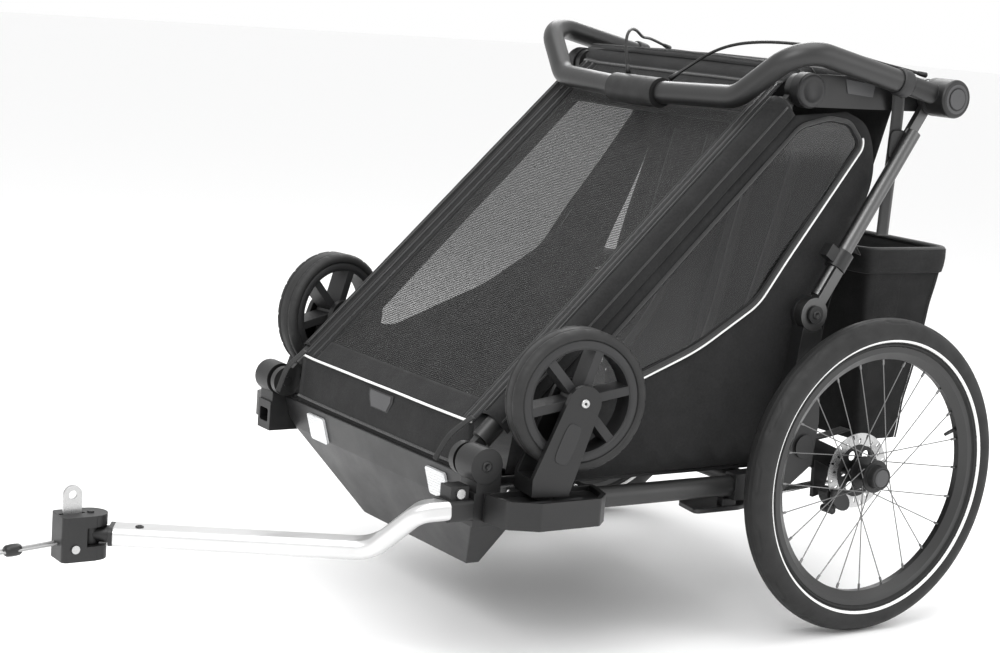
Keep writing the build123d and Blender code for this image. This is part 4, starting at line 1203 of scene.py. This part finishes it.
def build_caliper(side, sign):
    """The brake caliper holds the disc between two pads, on the swing arm."""
    disc_low, disc_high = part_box(f"brake_disc_{side}")
    disc_x = (disc_low.x + disc_high.x) / 2
    centre = Vector((disc_x, AXLE.y - 0.036, AXLE.z - 0.044))
    for name, near, far in (("inner", -0.024, -0.0035), ("outer", 0.0035, 0.0095)):
        shape = []
        for k in range(20):
            turn = 2 * math.pi * k / 20
            long_way, wide_way = 0.023, 0.014
            y, z = long_way * math.cos(turn), wide_way * math.sin(turn)
            tilt = math.radians(-38)
            shape.append(Vector((
                centre.x + near * sign, centre.y + y * math.cos(tilt) - z * math.sin(tilt),
                centre.z + y * math.sin(tilt) + z * math.cos(tilt)
            )))
        half = outline_solid(
            f"caliper_{name}_{side}", shape, ((far - near) * sign, 0, 0), SOFT_PLASTIC, 0.0018
        )
        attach(half, f"swing_arm_{side}")
    bridge_points = [
        centre + Vector((-0.016 * sign, -0.014, -0.016)),
        centre + Vector((0.008 * sign, -0.014, -0.016))
    ]
    bridge = rod(f"caliper_bridge_{side}", bridge_points, 0.006, SOFT_PLASTIC, 12)
    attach(bridge, f"swing_arm_{side}")
    arm_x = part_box(f"swing_arm_{side}")
    inner_x = arm_x[0].x + 0.02 if sign > 0 else arm_x[1].x - 0.02
    lug = outline_solid(
        f"caliper_mount_{side}",
        [
            Vector((inner_x, y, z))
            for y, z in ((-0.055, 0.262), (-0.02, 0.246), (-0.03, 0.205), (-0.052, 0.200))
        ],
        (0.008 * sign, 0, 0), PLASTIC, 0.0015,
    )
    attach(lug, f"swing_arm_{side}")


# ---------------------------------------------------------------- stroller wheels
def caster_frame(side, sign):
    joint = joints[f"caster_{side}_spin"]
    centre, axis = Vector(joint["pos_m"]), Vector(joint["axis"]).normalized()
    if axis.x * sign < 0:
        axis = -axis
    ahead = Vector((-axis.y, axis.x, 0)) * sign
    return centre, axis, ahead


def build_caster(side, sign):
    centre, axis, ahead = caster_frame(side, sign)
    body = f"caster_wheel_{side}"
    half, outer, inner = 0.022, 0.1024, 0.0882
    profile = [
        (-half + 0.001, inner), (-half, inner + 0.003), (-half + 0.0006, outer - 0.006),
        (-half + 0.005, outer - 0.0012), (-half + 0.008, outer)
    ]
    profile += [
        (-0.011, outer), (-0.0095, outer - 0.0016), (-0.008, outer), (0.008, outer),
        (0.0095, outer - 0.0016), (0.011, outer)
    ]
    profile += [
        (half - 0.008, outer), (half - 0.005, outer - 0.0012), (half - 0.0006, outer - 0.006),
        (half, inner + 0.003), (half - 0.001, inner)
    ]
    profile += [(profile[0][0], inner)]

    def lugs(i, k, along):
        return -0.0012 if i % 8 == 0 and 0.012 < abs(along) < 0.0205 else 0.0

    tyre = turned(f"stroller_tyre_{side}", profile, centre, axis, CASTER_RUBBER, 192, lugs)
    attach(tyre, body)
    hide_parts(f"caster_tyre_{side}")
    for name, way in (("out", 1), ("in", -1)):
        lip = turned(
            f"stroller_rim_lip_{name}_{side}",
            [
                (way * 0.0188, 0.0750), (way * 0.0208, 0.0762), (way * 0.0212, 0.0800),
                (way * 0.0204, 0.0860), (way * 0.0192, 0.0878)
            ],
            centre, axis, SOFT_PLASTIC, 96
        )
        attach(lip, body)
    # recessed panel on each fork leg, and a bolt on the outer leg
    for name, way in (("out", 1), ("in", -1)):
        face = 0.0325 * way
        lean = Vector((0, 0, 1))
        outline = []
        for k in range(28):
            turn = 2 * math.pi * k / 28
            c, s = math.cos(turn), math.sin(turn)
            across = 0.0125 * math.copysign(abs(c) ** 0.45, c)
            up = 0.030 * math.copysign(abs(s) ** 0.6, s)
            base = centre - ahead * 0.0215 + Vector((0, 0, -0.058))
            lean = (centre - base).normalized()
            side_way = axis.cross(lean).normalized()
            outline.append(base + side_way * across + lean * up + axis * face)
        inset = outline_solid(
            f"fork_inset_{name}_{side}", outline, axis * 0.0012 * way, SOFT_PLASTIC, 0.0006
        )
        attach(inset, f"caster_{side}")
    bolt = turned(
        f"fork_bolt_{side}",
        [
            (0.0345, 0.0), (0.0345, 0.0022), (0.0350, 0.0034), (0.0355, 0.0048), (0.0345, 0.0062),
            (0.0325, 0.0066)
        ],
        centre, axis, STEEL, 24
    )
    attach(bolt, f"caster_{side}")


# ---------------------------------------------------------------- small hardware
def screw(name, centre, axis, radius, material, body):
    """A low pan-head screw with a recessed socket."""
    profile = [
        (0.0002, 0.0), (0.0002, radius * 0.42), (0.0016, radius * 0.46), (0.0022, radius * 0.7),
        (0.0014, radius * 0.96), (0.0, radius)
    ]
    made = turned(name, profile, centre, axis, material, 20)
    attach(made, body)


def build_hardware():
    for side, sign in SIDES:
        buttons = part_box(f"handlebar_button_{side}")
        face_x = buttons[1].x if sign > 0 else buttons[0].x
        ring = turned(
            f"hub_button_ring_{side}",
            [
                (-0.003 * sign, 0.0172), (-0.0012 * sign, 0.0192), (-0.0012 * sign, 0.0222),
                (-0.0028 * sign, 0.0238)
            ],
            (face_x, HUB.y, HUB.z), (1, 0, 0), LIGHT_PLASTIC, 48
        )
        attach(ring, "handlebar")
        arm_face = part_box("roof_panel")[1].x + 0.006
        cap_profile = (
            (0.0, 0.0262), (0.004, 0.0256), (0.006, 0.0236), (0.006, 0.0176), (0.0042, 0.0166),
            (0.0042, 0.0)
        )
        cap = turned(
            f"arm_cap_{side}", cap_profile, (arm_face * sign, TOP.y, TOP.z), (sign, 0, 0),
            SOFT_PLASTIC, 64
        )
        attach(cap, "top_arms")
        corners = ((-0.068, 0.860), (-0.006, 0.853), (-0.009, 0.834), (-0.062, 0.838))
        badge = outline_solid(
            f"arm_badge_{side}", [Vector((arm_face * sign, y, z)) for y, z in corners],
            (0.0014 * sign, 0, 0), LIGHT_PLASTIC, 0.0006
        )
        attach(badge, "top_arms")
        screw(
            f"nose_screw_{side}", (0.3332 * sign, NOSE.y, NOSE.z), (sign, 0, 0), 0.008, PLASTIC,
            "chassis"
        )
        screw(
            f"elbow_screw_{side}", (0.3352 * sign, ELBOW.y, ELBOW.z), (sign, 0, 0), 0.007, PLASTIC,
            "chassis"
        )
        for k, (y, z) in enumerate(((-0.655, 0.2475), (-0.54, 0.2475))):
            screw(
                f"bracket_screw_{k}_{side}", (0.3322 * sign, y, z + 0.0125), (sign, 0, 0), 0.0045,
                STEEL, "chassis"
            )
        # lighter panel set in the dock's tray
        tray = [
            Vector((x * sign, y, 0.2545))
            for x, y in ((0.372, -0.645), (0.397, -0.640), (0.397, -0.566), (0.372, -0.556))
        ]
        plate = outline_solid(f"dock_panel_{side}", tray, (0, 0, 0.0012), LIGHT_PLASTIC, 0.0006)
        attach(plate, "chassis")
    screw("arm_screw", (0.073, -1.0965, 0.1787), (0, 0, 1), 0.006, PLASTIC, "tow_arm")


# ---------------------------------------------------------------- strap at the rear of each side
def build_rear_straps():
    for side, sign in SIDES:
        points = sided(
            [
                (0.318, 0.030, 0.848), (0.310, 0.040, 0.815), (0.305, 0.044, 0.762),
                (0.302, 0.044, 0.69), (0.298, 0.046, 0.618)
            ],
            sign
        )
        line = strap(f"bag_strap_{side}", points, (0, 1, 0), 0.025, WEBBING)
        hub, corner = Vector((0.337 * sign, HUB.y, HUB.z)), Vector((0.331 * sign, -0.188, 0.905))
        clamp_profile = (
            (-0.011, 0.0182), (-0.011, 0.0206), (-0.008, 0.0216), (0.008, 0.0216), (0.011, 0.0206),
            (0.011, 0.0182)
        )
        clamp = turned(
            f"bar_clamp_{side}", clamp_profile, hub.lerp(corner, 0.31), corner - hub, SOFT_PLASTIC,
            48
        )
        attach(clamp, "handlebar")
        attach(line, "rear_frame")
        buckle_centre = Vector((0.3045 * sign, 0.047, 0.762))
        shape = []
        for k in range(24):
            turn = 2 * math.pi * k / 24
            c, s = math.cos(turn), math.sin(turn)
            shape.append(
                buckle_centre
                + Vector((
                    0, 0.017 * math.copysign(abs(c) ** 0.5, c),
                    0.024 * math.copysign(abs(s) ** 0.6, s)
                ))
            )
        buckle = outline_solid(f"bag_buckle_{side}", shape, (0.007 * sign, 0, 0), PLASTIC, 0.002)
        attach(buckle, "rear_frame")


# ---------------------------------------------------------------- stage, light and camera
def build_stage():
    floor_material = Shader("pale_floor", (0.95, 0.95, 0.95), 0.8)
    floor = grid(
        "floor", [[Vector((x, y, -0.001)) for x in (-30, 0, 30)] for y in (-30, 0, 30)],
        floor_material.material
    )
    world = bpy.data.worlds.new("studio")
    world.use_nodes = True
    background = world.node_tree.nodes["Background"]
    background.inputs["Color"].default_value = (1, 1, 1, 1)
    background.inputs["Strength"].default_value = 1.0
    bpy.context.scene.world = world
    bpy.context.scene.view_settings.view_transform = "Standard"
    middle = (cad_box[0] + cad_box[1]) / 2
    for name, place, size, energy in (
        ("key", (1.6, -2.4, 2.6), 1.8, 48),
        ("fill", (3.0, 1.6, 1.6), 2.2, 22),
        ("back", (-2.2, 1.4, 2.4), 1.6, 40),
        ("top", (0.2, -0.2, 3.2), 2.4, 45),
    ):
        lamp = bpy.data.lights.new(name, "AREA")
        lamp.energy = energy
        lamp.size = size
        made = bpy.data.objects.new(name, lamp)
        made.location = place
        made.rotation_euler = (Vector(middle) - Vector(place)).to_track_quat("-Z", "Y").to_euler()
        bpy.context.scene.collection.objects.link(made)


def build_camera():
    azimuth, elevation, roll = (math.radians(a) for a in (55.97, 9.31, 4.31))
    back = Vector((
        math.sin(azimuth) * math.cos(elevation), -math.cos(azimuth) * math.cos(elevation),
        math.sin(elevation)
    ))
    right = Vector((math.cos(azimuth), math.sin(azimuth), 0))
    up = back.cross(right)
    turned_right = right * math.cos(roll) + up * math.sin(roll)
    turned_up = up * math.cos(roll) - right * math.sin(roll)
    data = bpy.data.cameras.new("camera")
    data.lens = 73.73
    data.sensor_width = 36
    data.sensor_fit = "HORIZONTAL"
    data.clip_end = 100
    made = bpy.data.objects.new("camera", data)
    made.matrix_world = Matrix((
        (turned_right.x, turned_up.x, back.x, 2.64119),
        (turned_right.y, turned_up.y, back.y, -2.24992),
        (turned_right.z, turned_up.z, back.z, 0.95517),
        (0, 0, 0, 1),
    ))
    bpy.context.scene.collection.objects.link(made)
    bpy.context.scene.camera = made


build_cover()
build_apron()
build_cover_trim()
build_tube_sleeves()
build_roof()
for each_side, each_sign in SIDES:
    build_side(each_side, each_sign)
    build_wheel(each_side, each_sign)
    build_caliper(each_side, each_sign)
    build_caster(each_side, each_sign)
build_back_panel()
build_seats()
build_bag()
build_cords()
build_hardware()
build_rear_straps()
build_stage()
build_camera()
